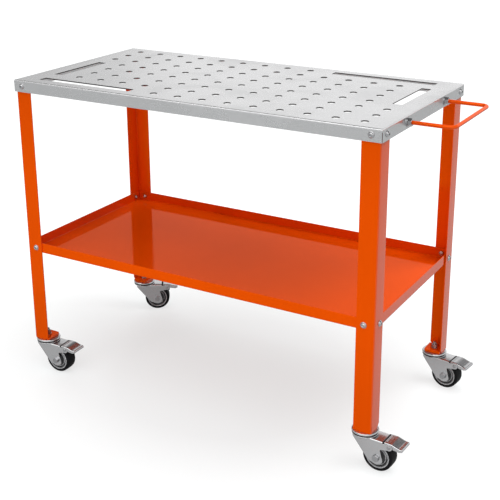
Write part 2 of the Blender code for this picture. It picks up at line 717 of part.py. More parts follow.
def make_pedal(name, empty):
    """Pressed pedal on a pin between the horns, with cheeks, a nose and a shoe over the tyre."""
    rise = HORN_RADIUS + PEDAL_OVER_HORN + PEDAL_SHEET
    start = ROOF_END + PEDAL_GAP - PIVOT_X
    tip_x = PEDAL_KNEE + PEDAL_TREAD * math.cos(PEDAL_SLOPE)
    tip_z = rise - PEDAL_TREAD * math.sin(PEDAL_SLOPE)
    nose_x = tip_x + PEDAL_SHEET
    half = PEDAL_WIDTH / 2
    outline = [(start, rise), (PEDAL_KNEE, rise), (tip_x, tip_z), (nose_x, tip_z - PEDAL_SHEET)]
    outline += [(nose_x, tip_z - PEDAL_NOSE), (tip_x, tip_z - PEDAL_NOSE), (tip_x, tip_z - PEDAL_SHEET)]
    outline += [(PEDAL_KNEE, rise - PEDAL_SHEET), (start, rise - PEDAL_SHEET)]
    pedal = place(name, side_prism([outline], -half, half), BRIGHT, empty, (PIVOT_X, 0, PIVOT_Z))
    clear = HORN_RADIUS + PEDAL_GAP
    low_angle = math.asin((rise - CHEEK_DEPTH) / clear)
    high_angle = math.asin((rise - PEDAL_SHEET) / clear)
    middle = PEDAL_SHEET / 2
    cheek = arc((0, 0), clear, low_angle, high_angle, 5)
    cheek += [(PEDAL_KNEE, rise - middle), (tip_x, tip_z - middle), (nose_x - middle, tip_z - PEDAL_SHEET)]
    cheek += [(nose_x - middle, tip_z - PEDAL_NOSE)]
    neck = FORK_INNER - EAR_GAP
    ear = arc((0, 0), EAR_RADIUS, math.pi, 2 * math.pi, 7)
    ear += [(EAR_RADIUS, rise - middle), (-EAR_RADIUS, rise - middle)]
    for side in (-1, 1):
        low, high = sorted((side * half, side * (half - PEDAL_SHEET)))
        cut(pedal, side_prism([cheek], low, high), "UNION")
        low, high = sorted((side * neck, side * (neck - PEDAL_SHEET)))
        cut(pedal, side_prism([ear], low, high), "UNION")
    reach = WHEEL_RADIUS + SHOE_GAP
    shoe_z = AXLE_HEIGHT + math.sqrt(reach**2 - (PIVOT_X + SHOE_BACK - TRAIL) ** 2) - PIVOT_Z
    wide = SHOE_WIDTH / 2
    shoe = box((SHOE_BACK, -wide, shoe_z), (SHOE_BACK + SHOE_LENGTH, wide, rise - middle))
    cut(pedal, shoe, "UNION")
    cut(pedal, side_prism([hole(PIN_DIAMETER / 2 + RUNNING_GAP)], -half, half))


def pin_mesh():
    """Pin across the horns with a low head at each end."""
    radius = PIN_DIAMETER / 2
    seat = FORK_OUTER + CLEARANCE
    end = seat + PIN_HEAD
    profile = [(0, end), (PIN_HEAD_TOP / 2, end), (PIN_HEAD_BASE / 2, seat), (radius, seat)]
    profile += [(r, -z) for r, z in reversed(profile)]
    mesh = turned(profile, PIN_SIDES, closed=False)
    mesh.transform(Matrix.Rotation(math.radians(90), 4, "X"))
    return mesh


def make_caster(name, sx, sy, shapes):
    """One caster. The swivel empty stands on the stem's axis, and the fork's pieces turn with it."""
    stem = Vector((sx * (LEG_X - STEM_INSET), sy * (LEG_Y - STEM_INSET), 0))
    place(f"king_pin_{name}", shapes["king_pin"].copy(), BRIGHT, None, stem)
    place(f"swivel_race_{name}", shapes["race"].copy(), BRIGHT, None, stem)
    place(f"ball_ring_{name}", shapes["ball_ring"].copy(), BRIGHT, None, stem)
    swivel = bpy.data.objects.new(f"swivel_{name}", None)
    swivel.location = stem
    swivel.rotation_euler.z = math.radians(CASTER_YAW[name])
    PARTS.objects.link(swivel)
    make_fork(f"fork_{name}", swivel)
    axle = (TRAIL, 0, AXLE_HEIGHT)
    make_axle(name, swivel)
    place(f"axle_bush_{name}", shapes["bush"].copy(), BRIGHT, swivel, axle)
    place(f"wheel_hub_{name}", shapes["hub"].copy(), GREY, swivel, axle)
    place(f"tyre_{name}", shapes["tyre"].copy(), RUBBER, swivel, axle)
    make_pedal(f"brake_pedal_{name}", swivel)
    place(f"pedal_pin_{name}", shapes["pin"].copy(), BRIGHT, swivel, (PIVOT_X, 0, PIVOT_Z))
    bore = STEM_DIAMETER / 2 + CLEARANCE
    seat = Matrix.Translation(stem + Vector((0, 0, LEG_FOOT + BASE_SHEET + CLEARANCE)))
    place_flange_nut(f"stem_nut_{name}", STEM_NUT_ACROSS, STEM_NUT_HEIGHT, STEM_WASHER, bore, seat)


def make_casters():
    shapes = {
        "king_pin": king_pin_mesh(),
        "race": race_mesh(),
        "ball_ring": ball_ring_mesh(),
        "bush": bush_mesh(),
        "hub": hub_mesh(),
        "tyre": tyre_mesh(),
        "pin": pin_mesh(),
    }
    for name, (sx, sy) in CORNERS.items():
        make_caster(name, sx, sy, shapes)


clear_scene()
PARTS = new_collection("mobile_welding_table")
CUTTERS = new_collection("cutters")
make_top()
for corner, signs in CORNERS.items():
    make_leg(corner, *signs)
make_shelf()
make_handle()
make_casters()
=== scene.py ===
"""Mobile welding table: the looks of its pieces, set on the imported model.

Laid out as a Blender add-on and run as a script. Metres, +Z up, +X towards the push handle.
"""

import json
import math

import bmesh
import bpy
import numpy as np
from bpy.props import FloatProperty, FloatVectorProperty, IntProperty, PointerProperty
from mathutils import Matrix, Vector


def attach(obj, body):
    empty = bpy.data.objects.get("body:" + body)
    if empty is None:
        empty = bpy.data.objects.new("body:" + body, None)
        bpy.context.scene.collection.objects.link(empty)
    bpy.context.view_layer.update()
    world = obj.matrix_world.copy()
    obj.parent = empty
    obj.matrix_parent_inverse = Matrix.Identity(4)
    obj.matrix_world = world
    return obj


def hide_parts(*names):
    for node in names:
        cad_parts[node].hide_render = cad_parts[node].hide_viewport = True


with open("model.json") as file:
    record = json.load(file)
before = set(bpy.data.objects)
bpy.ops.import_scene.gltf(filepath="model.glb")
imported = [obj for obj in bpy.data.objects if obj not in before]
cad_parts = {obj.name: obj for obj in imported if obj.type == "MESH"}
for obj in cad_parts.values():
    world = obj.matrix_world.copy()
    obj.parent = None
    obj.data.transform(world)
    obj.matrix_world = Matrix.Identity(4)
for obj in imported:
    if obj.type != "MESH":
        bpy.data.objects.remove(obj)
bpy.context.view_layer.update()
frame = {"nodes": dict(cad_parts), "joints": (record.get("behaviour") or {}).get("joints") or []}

bl_info = {
    "name": "Mobile welding table",
    "version": (1, 0, 0),
    "blender": (4, 5, 0),
    "location": "View3D > Sidebar > Welding table",
    "description": "Makes the finished pieces of a mobile welding table on its packed model",
    "category": "Add Mesh",
}

# Gap between fitted pieces, gap between pieces that move past each other, and distance at which points join
CLEARANCE = 0.0003
PLAY = 0.0006
WELD = 0.000002

# Signs of X and Y at each corner of the table
SIDES = {"front_left": (-1, -1), "front_right": (1, -1), "rear_left": (-1, 1), "rear_right": (1, 1)}

# Points round a nut, a head or a socket
HEXAGON_POINTS = 72

# Cone that cuts back the corners of nuts and heads: its start as a share of their width, and its angle
CONE_START = 0.475
CONE_ANGLE = math.radians(30)


# Sizes, colours and stage settings that a user would change


def length(name, metres, description):
    """A size in metres."""
    return FloatProperty(
        name=name, description=description, default=metres, min=0, precision=4, unit="LENGTH"
    )


def colour(name, rgb, description):
    """A colour in linear light."""
    return FloatVectorProperty(
        name=name, description=description, default=rgb, size=3, min=0, max=1, subtype="COLOR"
    )


def amount(name, value, description):
    """A plain number from 0 up."""
    return FloatProperty(name=name, description=description, default=value, min=0)


class TopSizes(bpy.types.PropertyGroup):
    """Folded and perforated table top."""

    height: length("Height", 0.737, "Floor to the work surface")
    long: length("Length", 0.914, "Along X, outside the aprons")
    wide: length("Width", 0.457, "Along Y, outside the aprons")
    sheet: length("Sheet", 0.003, "Thickness of the zinc-coated sheet")
    bend: length("Bend", 0.0031, "Outer radius of the folded edge")
    apron: length("Apron", 0.0275, "Depth of the folded edge")
    seam: length("Seam", 0.0009, "Half of the open seam at a corner")
    hole: length("Hole", 0.016, "Diameter of a fixture hole")
    land: length("Land", 0.0022, "Straight part of the wall of a hole or slot, below the upper face")
    flare: length("Flare", 0.0016, "How far a hole or slot opens out below its straight wall")
    columns: IntProperty(name="Columns", description="Fixture holes along X", default=14, min=2)
    rows: IntProperty(name="Rows", description="Fixture holes along Y", default=8, min=2)
    margin_x: length("Margin along X", 0.054, "Apron to the first hole centre")
    margin_y: length("Margin along Y", 0.0395, "Apron to the first hole centre")
    slot: length("Slot", 0.022, "Width of a slot")
    long_slot: length("Long slot", 0.252, "Length of the slots along X")
    short_slot: length("Short slot", 0.166, "Length of the slots along Y")
    bolt_inset: length("Bolt inset", 0.023, "Apron corner to the bolts into the legs")


class FrameSizes(bpy.types.PropertyGroup):
    """Angle legs and tray shelf."""

    flange: length("Flange", 0.041, "Width of a leg's flange")
    leg_sheet: length("Leg sheet", 0.0025, "Thickness of a leg")
    leg_bend: length("Leg bend", 0.004, "Outer radius of a leg's bend")
    chamfer: length("Chamfer", 0.008, "Cut corner at the foot of a flange")
    foot: length("Foot", 0.085, "Floor to the underside of a leg")
    leg_top: length("Leg top", 0.7323, "Floor to the upper end of a leg")
    base: length("Base plate", 0.005, "Thickness of a base plate")
    base_size: length("Base size", 0.0425, "Leg corner to the free edges of a base plate")
    base_cut: length("Base cut", 0.004, "Cut corner of a base plate")
    stem_inset: length("Stem inset", 0.0225, "Leg corner to the middle of the caster's stem")
    shelf_height: length("Shelf height", 0.3155, "Floor to the underside of the shelf")
    shelf_sheet: length("Shelf sheet", 0.0015, "Thickness of the shelf")
    shelf_bend: length("Shelf bend", 0.003, "Outer radius of the shelf's bend")
    lip: length("Lip", 0.025, "Height of the shelf's upturned edge")
    lip_seam: length("Lip seam", 0.0005, "Half of the open seam at a corner of the shelf")
    bolt_inset: length("Bolt inset", 0.0245, "Leg corner to the bolts into the shelf")


class HandleSizes(bpy.types.PropertyGroup):
    """Bent rod on the right apron."""

    rod: length("Rod", 0.008, "Diameter of the rod")
    spread: length("Spread", 0.208, "Distance between the rod's ends")
    reach: length("Reach", 0.096, "Apron to the middle of the far bar")
    bend: length("Bend", 0.014, "Radius of the rod's bends")
    nut: length("Nut", 0.0145, "Across the flats of its nuts")
    nut_height: length("Nut height", 0.0080, "Height of its nuts")
    washer: length("Washer", 0.0185, "Diameter of its washers")
    washer_sheet: length("Washer sheet", 0.0016, "Thickness of a washer")


class BoltSizes(bpy.types.PropertyGroup):
    """Bolts that hold the top, the legs and the shelf together."""

    head: length("Head", 0.0140, "Diameter of a bolt's flanged head")
    head_height: length("Head height", 0.0045, "Height of a bolt's head")
    socket: length("Socket", 0.004, "Across the flats of the head's socket")
    shank: length("Shank", 0.0056, "Diameter of a bolt's thread")
    nut: length("Nut", 0.00995, "Across the flats of a nut")
    nut_height: length("Nut height", 0.005, "Height of a nut")


class CasterSizes(bpy.types.PropertyGroup):
    """Swivel casters with brake pedals."""

    wheel: length("Wheel", 0.034, "Radius of the tyre")
    tyre: length("Tyre", 0.0300, "Width of the tyre")
    tyre_depth: length("Tyre depth", 0.0078, "Tread to the tyre's bead")
    web: length("Web", 0.012, "Thickness of the hub's web")
    boss: length("Boss", 0.010, "Radius of the hub's boss")
    bush: length("Bush", 0.0063, "Radius of the hub's bore")
    fork: length("Fork", 0.039, "Across the outside of the fork")
    fork_sheet: length("Fork sheet", 0.0025, "Thickness of the pressed fork")
    axle: length("Axle", 0.008, "Diameter of the axle bolt")
    axle_nut: length("Axle nut", 0.013, "Across the flats of the axle's nut")
    axle_nut_height: length("Axle nut height", 0.0055, "Height of the axle's nut")
    trail: length("Trail", 0.036, "Stem to the axle")
    race: length("Race", 0.058, "Diameter of the swivel race")
    race_low: length("Race underside", 0.0800, "Floor to the underside of the race")
    race_high: length("Race top", 0.0847, "Floor to the top of the race")
    crown: length("Crown", 0.057, "Diameter of the fork's crown")
    crown_top: length("Crown top", 0.0767, "Floor to the top of the fork's crown")
    roof_end: length("Roof end", 0.049, "Stem to the rear end of the fork's roof")
    heel_gap: length("Heel gap", 0.0044, "End of the fork's roof to the heel of the pedal")
    horn: length("Horn", 0.0075, "Radius of the fork's horn round the pedal's pin")
    arm: length("Arm", 0.0155, "Radius of the fork's arm round the axle")
    pedal: length("Pedal", 0.039, "Across the brake pedal")
    pedal_sheet: length("Pedal sheet", 0.0016, "Thickness of the pressed pedal")
    pedal_bend: length("Pedal bend", 0.0020, "Outer radius of the pedal's long edges")
    rib: length("Rib", 0.0003, "Height of the ribs across the pedal")
    stem: length("Stem", 0.008, "Diameter of the stem")
    stem_nut: length("Stem nut", 0.0120, "Across the flats of the stem's nut")
    stem_nut_height: length("Stem nut height", 0.0080, "Height of the stem's nut")
    stem_washer: length("Stem washer", 0.0155, "Diameter of the stem's washer")


class Finishes(bpy.types.PropertyGroup):
    """Colours of the finishes."""

    zinc: colour("Zinc", (0.67, 0.67, 0.677), "Zinc-coated sheet of the top")
    # Near black: a cut edge darkened as painted shade inside the holes and slots
    cut_edge: colour("Cut edge", (0.06, 0.06, 0.06), "Walls of the holes and slots in the top")
    orange: colour("Orange", (0.79, 0.081, 0.001), "Paint of the legs, shelf and handle")
    pressing: colour("Pressing", (0.60, 0.60, 0.61), "Zinc-plated pressings of the casters")
    steel: colour("Steel", (0.50, 0.50, 0.51), "Bright bolts and nuts of the frame")
    dull_steel: colour("Dull steel", (0.42, 0.42, 0.43), "Bolts and nuts of the casters")
    rubber: colour("Rubber", (0.006, 0.006, 0.0066), "Tyres")
    hub: colour("Hub", (0.07, 0.07, 0.072), "Moulded wheel hubs")
    # Paler than the hub: painted highlight on its raised rings
    rim: colour("Rim", (0.42, 0.42, 0.43), "Raised ring of the wheel hubs")


class StageSettings(bpy.types.PropertyGroup):
    """Camera, lamps and floor."""

    place: FloatVectorProperty(
        name="Camera place",
        description="Where the camera stands",
        default=(1.1705, -1.9325, 1.224),
        size=3,
        subtype="TRANSLATION",
    )
    turn: FloatVectorProperty(
        name="Camera turn",
        description="How the camera is turned",
        default=[math.radians(angle) for angle in (72.016, 0.298, 30.325)],
        size=3,
        subtype="EULER",
    )
    lens: amount("Lens", 73.234, "Focal length in millimetres")
    shift: FloatProperty(name="Shift", description="Upright shift of the lens", default=-0.13)
    key: amount("Key", 2.2, "Strength of the key lamp, a broad sun")
    softbox: amount("Softbox", 36.0, "Power of the soft lamp on the right, in watts")
    panel: amount("Panel", 5.4, "Power of the low panel in front, in watts")
    back: amount("Back", 0.7, "Strength of a weak sun from behind")
    fill: amount("Fill", 0.10, "Strength of the light from all round")
    floor: colour("Floor", (0.286, 0.30, 0.301), "Share of the lamps' light that the floor gives back")
    # The lower glow under the table is painted shade
    glow: amount("Floor glow", 0.625, "Brightness of the floor under the table to the camera, without lamps")
    far_glow: amount("Far glow", 0.88, "The same, well away from the table")
    ceiling: amount("Ceiling", 0.12, "Brightness of the ceiling in reflections")
    window: amount("Window", 2.6, "Brightness in reflections of a window high in front")
    mirrored_glow: amount("Mirrored glow", 0.26, "Brightness of the floor in reflections, without the lamps")


class WeldingTable(bpy.types.PropertyGroup):
    """All settings of the table."""

    top: PointerProperty(type=TopSizes)
    body: PointerProperty(type=FrameSizes)
    handle: PointerProperty(type=HandleSizes)
    bolt: PointerProperty(type=BoltSizes)
    caster: PointerProperty(type=CasterSizes)
    finish: PointerProperty(type=Finishes)
    stage: PointerProperty(type=StageSettings)


# Surfaces as arrays: a surface is a pair of points (n, 3) and blocks of faces, each (m, corners)


def grid_quads(rows, columns, ring=False):
    """Quads between neighbours of a grid of points laid row by row, whose rows are rings if asked."""
    row, column = np.meshgrid(np.arange(rows - 1), np.arange(columns - (not ring)), indexing="ij")
    following = (column + 1) % columns
    corners = [
        row * columns + column,
        row * columns + following,
        (row + 1) * columns + following,
        (row + 1) * columns + column,
    ]
    return np.stack(corners, -1).reshape(-1, 4)


def surface(grid, ring=False):
    """A grid of points (rows, columns, 3) as a surface."""
    rows, columns = grid.shape[:2]
    return grid.reshape(-1, 3), [grid_quads(rows, columns, ring)]


def together(surfaces):
    """Several surfaces as one."""
    starts = np.cumsum([0] + [len(points) for points, _ in surfaces])
    points = np.concatenate([points for points, _ in surfaces])
    blocks = [block + start for (_, faces), start in zip(surfaces, starts) for block in faces]
    return points, blocks


def placed(shape, matrix):
    """A surface moved by a 4 by 4 matrix."""
    points, blocks = shape
    matrix = np.array(matrix)
    return points @ matrix[:3, :3].T + matrix[:3, 3], blocks


def lying(outline, z):
    """An outline in X and Y, laid at a height."""
    return np.column_stack([outline, np.full(len(outline), z)])


def standing(outline, y):
    """An outline in X and Z, stood up at a place along Y."""
    return np.column_stack([outline[:, 0], np.full(len(outline), y), outline[:, 1]])


def plate(outline):
    """One flat face inside a loop of points."""
    return outline, [np.arange(len(outline))[None]]


def side_prism(outline, low, high):
    """An outline in X and Z carried along Y from low to high, with a flat face at each end."""
    loops = [standing(outline, y) for y in (low, high)]
    return together([surface(np.stack(loops), ring=True)] + [plate(loop) for loop in loops])


def thick_sheet(outer, inner):
    """A closed sheet from the grids of its two faces: both faces, and a rim along each of the four sides."""
    rims = [
        np.stack([outer[0], inner[0]]),
        np.stack([outer[-1], inner[-1]]),
        np.stack([outer[:, 0], inner[:, 0]]),
        np.stack([outer[:, -1], inner[:, -1]]),
    ]
    return together([surface(grid) for grid in [outer, inner] + rims])


def turn_of(sides):
    """Angles evenly round a full turn."""
    return np.linspace(0, 2 * math.pi, sides, endpoint=False)


def swept(radius, height, angles):
    """Points (r cos a, r sin a, h) at angles a, for radius r and height h of (rows, angles) or (rows, 1)."""
    radius, height = radius + 0 * angles, height + 0 * angles
    return surface(np.stack([radius * np.cos(angles), radius * np.sin(angles), height], -1), ring=True)


def turned(profile, sides):
    """A profile of (radius, height) points carried round the Z axis."""
    profile = np.array(profile, float)
    return swept(profile[:, :1], profile[:, 1:], turn_of(sides))


def swept_rows(rows, angles):
    """A few rows carried round the Z axis, each with one radius and height, or one for each angle."""
    radius, height = (np.stack([value + 0 * angles for value in values]) for values in zip(*rows))
    return swept(radius, height, angles)


def rounded(profile, radius, steps=4):
    """A profile with its inner points rounded by quadratic curves that start and end a radius away.

    The radius is one number, or one for each inner point, and takes up less than half of a short side.
    """
    profile = np.array(profile, float)
    radius = np.broadcast_to(radius, len(profile) - 2)[:, None]
    before, point, after = profile[:-2], profile[1:-1], profile[2:]

    def towards(other):
        reach = np.linalg.norm(other - point, axis=1, keepdims=True)
        return point + (other - point) * np.minimum(radius / np.maximum(reach, WELD), 0.45)

    start, end = towards(before)[:, None], towards(after)[:, None]
    t = np.linspace(0, 1, steps)[None, :, None]
    curves = (1 - t) ** 2 * start + 2 * t * (1 - t) * point[:, None] + t**2 * end
    return np.concatenate([profile[:1], curves.reshape(-1, 2), profile[-1:]])


def arc(centre, radius, start, end, count):
    """Points on an arc, angles in degrees."""
    angles = np.radians(np.linspace(start, end, count))
    return np.stack([centre[0] + radius * np.cos(angles), centre[1] + radius * np.sin(angles)], -1)


def hexagon_radius(angles, across):
    """Distance from the axis to a hexagon: half its width over the cosine of the angle from a flat."""
    from_flat = (angles + math.pi / 6) % (math.pi / 3) - math.pi / 6
    return across / 2 / np.cos(from_flat)


def cut_hexagon(across):
    """Angles round a hexagon, its radius there, the cone's first radius and its drop at the sides."""
    angles = turn_of(HEXAGON_POINTS)
    side = hexagon_radius(angles, across)
    circle = CONE_START * across
    return angles, side, circle, (side - circle) * math.tan(CONE_ANGLE)


def nut_surface(across, height, bore, washer=0, washer_sheet=0):
    """Hexagon nut on z = 0 with its corners cut back at both ends, on a round washer if asked."""
    angles, side, circle, drop = cut_hexagon(across)
    low, high = washer_sheet, washer_sheet + height
    chamfer = 0.0006
    mouth = bore + chamfer
    rows = [(bore, low + chamfer), (mouth, low), (circle, low), (side, low + drop)]
    rows += [(side, high - drop), (circle, high), (mouth, high), (bore, high - chamfer), rows[0]]
    shapes = [swept_rows(rows, angles)]
    if washer:
        rim = washer / 2
        ring = [(bore, 0), (rim, 0), (rim, washer_sheet), (bore, washer_sheet), (bore, 0)]
        shapes.append(turned(rounded(ring, radius=0.0003), sides=48))
    return together(shapes)


def thread_surface(radius, low, high, pitch):
    """Threaded end, whose depth is a triangle wave of height less the share of a turn.

    Over the last turn it tapers by half a pitch.
    """
    rows_per_turn, sides, depth_share = 8, 40, 0.55
    angles = turn_of(sides)
    z = np.linspace(low, high, int((high - low) / pitch * rows_per_turn) + 2)[:, None]
    phase = (z / pitch - angles / (2 * math.pi)) % 1
    depth = depth_share * pitch * np.abs(2 * phase - 1)
    fade = np.clip((high - z) / pitch, 0, 1)
    shank = radius - depth - 0.5 * pitch * (1 - fade)
    ends = np.zeros((1, len(angles)))
    return swept(np.concatenate([ends, shank, ends]), np.concatenate([[[low]], z, [[high]]]), angles)


def head_surface(bolt):
    """Button head on a flange: a rounded profile whose last rows narrow to a hexagon socket.

    The profile is given in shares of the flange's radius and of the height.
    """
    top, lead = bolt.head_height, 0.0002
    shares = [(0, 0), (1, 0), (1, 0.22), (0.83, 0.34), (0.78, 0.6), (0.62, 0.88), (0.46, 1)]
    profile = rounded(np.array(shares) * (bolt.head / 2, top), radius=0.0005)
    angles = turn_of(HEXAGON_POINTS)
    socket = hexagon_radius(angles, bolt.socket)
    well = [(socket + lead, top), (socket, top - lead), (0.98 * socket, 0.42 * top), (0, 0.36 * top)]
    return swept_rows(list(profile) + well, angles)


def tube_with_ends(path, radii, sides=28):
    """A tube along a level path, with its first and last points as its closed ends.

    Each circle stands square to the mean of the path's directions before and after it.
    """
    ahead = np.zeros_like(path)
    step = np.diff(path, axis=0)
    size = np.linalg.norm(step, axis=1, keepdims=True)
    step = np.where(size > WELD, step / np.maximum(size, WELD), 0)
    ahead[:-1] += step
    ahead[1:] += step
    ahead[0], ahead[-1] = ahead[1], ahead[-2]
    ahead /= np.linalg.norm(ahead, axis=1, keepdims=True)
    beside = np.column_stack([-ahead[:, 1], ahead[:, 0], np.zeros(len(path))])
    angles = turn_of(sides)[None, :, None]
    ring = np.cos(angles) * beside[:, None] + np.sin(angles) * np.array([0, 0, 1.0])
    return surface(path[:, None] + np.asarray(radii)[:, None, None] * ring, ring=True)


def rectangle_loop(half, counts):
    """Points round a rectangle, evenly along each side, from its low corner and anticlockwise."""
    along = np.linspace(-1, 1, counts[0], endpoint=False)
    up = np.linspace(-1, 1, counts[1], endpoint=False)
    ones_x, ones_y = np.ones_like(along), np.ones_like(up)
    x = np.concatenate([along, ones_y, -along, -ones_y])
    y = np.concatenate([-ones_x, up, ones_x, -up])
    return np.stack([x * half[0], y * half[1]], -1)


def pierced_cell(outline, opening, flared, low, land, high):
    """A piece of plate round a punched opening.

    Loops of as many points give the upper face, the straight wall, the flare below it and the lower face.
    """
    rows = [(outline, high), (opening, high), (opening, land), (flared, low), (outline, low)]
    return surface(np.stack([lying(loop, z) for loop, z in rows]), ring=True)


def repeated(shape, centres):
    """A surface at each of many centres in X and Y."""
    points, blocks = shape
    many = (points[None] + lying(centres, 0)[:, None]).reshape(-1, 3)
    starts = np.arange(len(centres))[:, None, None] * len(points)
    return many, [(block[None] + starts).reshape(-1, block.shape[1]) for block in blocks]


def folded_edges(half, counts, field, floor, sheet, bend, turn, depth, seam):
    """Four edges of a sheet folded down (turn -1) or up (turn 1), mitred and open at the corners.

    The bend is a quarter circle of two radii about one centre. Rows run out along the upper face, over the
    rim and back along the lower face. A row is a line along each side as long as the rectangle at that level,
    less the seam.
    """
    quarter = np.linspace(0, math.pi / 2, 7)
    middle = floor + turn * bend
    straight = floor + turn * np.array([bend + sheet, bend + sheet + seam, depth])
    gap = np.concatenate([np.zeros(len(quarter) + 2), [seam, seam]])

    def face(radius):
        out = np.concatenate([[0], radius * np.sin(quarter), np.full(len(straight), radius)]) - bend
        z = np.concatenate([[middle - turn * radius], middle - turn * radius * np.cos(quarter), straight])
        levels = half[None, :] + out[:, None]
        levels[0] = field
        return levels, z

    outer, inner = face(bend), face(bend - sheet)
    upper, lower = (outer, inner) if turn < 0 else (inner, outer)
    levels, z = (np.concatenate([first, second[::-1]]) for first, second in zip(upper, lower))
    gaps = np.concatenate([gap, gap[::-1]])
    rim, fold = len(gap), len(straight)
    shapes = []
    for axis in (0, 1):
        t = np.linspace(-1, 1, counts[axis] + 1)
        along = (levels[:, axis] - gaps)[:, None] * t[None, :]
        across = levels[:, 1 - axis][:, None] + 0 * along
        up = z[:, None] + 0 * along
        for sign in (-1, 1):
            pair = [along, sign * across]
            grid = np.stack([pair[axis], pair[1 - axis], up], -1)
            shapes.append(surface(grid))
            for end in (0, -1):
                cap = np.stack([grid[rim - fold : rim, end], grid[rim : rim + fold, end][::-1]])
                shapes.append(surface(cap))
    return together(shapes)


def rolled_edges(half, bend, flat=()):
    """Places across a pressed sheet, and how far it has fallen there.

    It is level in the middle, and a quarter circle turns each long edge down.
    """
    quarter = np.linspace(0, math.pi / 2, 6)
    out, fall = half - bend + bend * np.sin(quarter), bend * (1 - np.cos(quarter))
    level = np.array(flat, float)
    return np.concatenate([-out[::-1], level, out]), np.concatenate([fall[::-1], 0 * level, fall])


# Pieces


def add_piece(name, shapes, body, finish, nodes=()):
    """A piece from welded surfaces, which rides on a body and may stand for CAD nodes."""
    points, blocks = together(shapes)
    mesh = bpy.data.meshes.new(name)
    mesh.from_pydata(points.tolist(), [], [face for block in blocks for face in block.tolist()])
    weld(mesh)
    mesh.materials.append(finish_of(finish))
    piece = bpy.data.objects.new(name, mesh)
    bpy.context.scene.collection.objects.link(piece)
    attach(piece, body)
    if nodes:
        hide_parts(*nodes)
    return piece


def corner_piece(name, corner, shapes, body, finish, slot, replaced=None):
    """A piece at one corner of the table, which may stand for one CAD node there."""
    nodes = [f"{replaced}_{corner}"] if replaced else []
    return add_piece(f"{name}_{corner}", shapes, body, finish, nodes)


def weld(mesh):
    """Joins points that lie together, turns the faces out, and shades them smooth up to 30 degrees."""
    bm = bmesh.new()
    bm.from_mesh(mesh)
    bmesh.ops.remove_doubles(bm, verts=bm.verts, dist=WELD)
    bmesh.ops.dissolve_degenerate(bm, edges=bm.edges, dist=WELD)
    bmesh.ops.recalc_face_normals(bm, faces=bm.faces)
    bm.to_mesh(mesh)
    bm.free()
    mesh.shade_smooth()
    mesh.set_sharp_from_angle(angle=math.radians(30))


def thicken(piece, sheet):
    """Gives an open sheet its thickness, inwards from its outer face."""
    solidify = piece.modifiers.new("sheet", "SOLIDIFY")
    solidify.thickness = sheet
    solidify.offset = -1
    solidify.use_even_offset = True


def round_edges(piece, width):
    """Rounds the edges that are sharper than 35 degrees."""
    bevel = piece.modifiers.new("rounded edges", "BEVEL")
    bevel.width = width
    bevel.segments = 2
    bevel.limit_method = "ANGLE"
    bevel.angle_limit = math.radians(35)
    bevel.harden_normals = True


def finish_faces(piece, finish, chosen):
    """Gives the faces that a test of their middles and normals chooses a second finish."""
    faces = piece.data.polygons
    middles, normals = np.empty(3 * len(faces)), np.empty(3 * len(faces))
    faces.foreach_get("center", middles)
    faces.foreach_get("normal", normals)
    piece.data.materials.append(finish_of(finish))
    second = chosen(middles.reshape(-1, 3), normals.reshape(-1, 3))
    faces.foreach_set("material_index", second.astype(np.int32))


def dress_node(name, finish):
    """Gives a CAD node that stays a procedural finish."""
    materials = frame["nodes"][name].data.materials
    materials.clear()
    materials.append(finish_of(finish))


def facing(direction, point):
    """Turns +Z to a direction and moves the origin to a point."""
    turn = Vector(direction).to_track_quat("Z", "Y").to_matrix().to_4x4()
    return Matrix.Translation(point) @ turn


def lying_across(stem, back, up, turn=90):
    """A stem's matrix moved back and up, with its Z axis then turned to lie across."""
    return stem @ Matrix.Translation((back, 0, up)) @ Matrix.Rotation(math.radians(turn), 4, "X")


def bolt_sites(face_x, face_y, inset, height):
    """Point on the outer face and outward direction of two bolts at each corner."""
    sites = []
    for sx, sy in SIDES.values():
        sites.append(((sx * (face_x - inset), sy * face_y, height), (0, sy, 0)))
        sites.append(((sx * face_x, sy * (face_y - inset), height), (sx, 0, 0)))
    return sites


def leg_faces(top):
    """Distances of the legs' outer faces from the table's middle."""
    inset = top.sheet + CLEARANCE
    return np.array([top.long / 2 - inset, top.wide / 2 - inset])


def shelf_half(top, body):
    """Half sizes of the shelf, which clears the bend inside the legs."""
    fit = CLEARANCE + (1 - math.sqrt(0.5)) * (body.leg_bend - body.leg_sheet)
    return leg_faces(top) - body.leg_sheet - fit


def casters():
    """Name, stem matrix and pedal pin of each caster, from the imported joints.

    The pin is given back and up from the foot of the stem.
    """
    joints = {joint["name"]: joint for joint in frame["joints"]}
    found = []
    for name in SIDES:
        axis = joints[f"wheel_spin_{name}"]["axis"]
        x, y = joints[f"swivel_turn_{name}"]["pos_m"][:2]
        yaw = math.atan2(-axis[0], axis[1])
        stem = Matrix.Translation((x, y, 0)) @ Matrix.Rotation(yaw, 4, "Z")
        pin = stem.inverted() @ Vector(joints[f"brake_press_{name}"]["pos_m"])
        found.append((name, stem, np.array([pin.x, pin.z])))
    return found


# Finishes


def new_group(name, inputs, outputs):
    """An empty shader node group with float inputs and their defaults, and float outputs."""
    group = bpy.data.node_groups.new(name, "ShaderNodeTree")
    for socket, value in inputs.items():
        made = group.interface.new_socket(socket, in_out="INPUT", socket_type="NodeSocketFloat")
        made.default_value = value
    for socket in outputs:
        group.interface.new_socket(socket, in_out="OUTPUT", socket_type="NodeSocketFloat")
    return group, group.nodes.new("NodeGroupInput").outputs, group.nodes.new("NodeGroupOutput").inputs


def feed(tree, socket, source):
    """Joins an input to the output that feeds it, or gives it a plain value."""
    if isinstance(source, bpy.types.NodeSocket):
        tree.links.new(source, socket)
    else:
        socket.default_value = source


def node(tree, kind, values=(), **settings):
    """A node with some of its settings, and with values or feeds for inputs by name or number."""
    made = tree.nodes.new(kind)
    for name, value in settings.items():
        setattr(made, name, value)
    for name, value in dict(values).items():
        feed(tree, made.inputs[name], value)
    return made


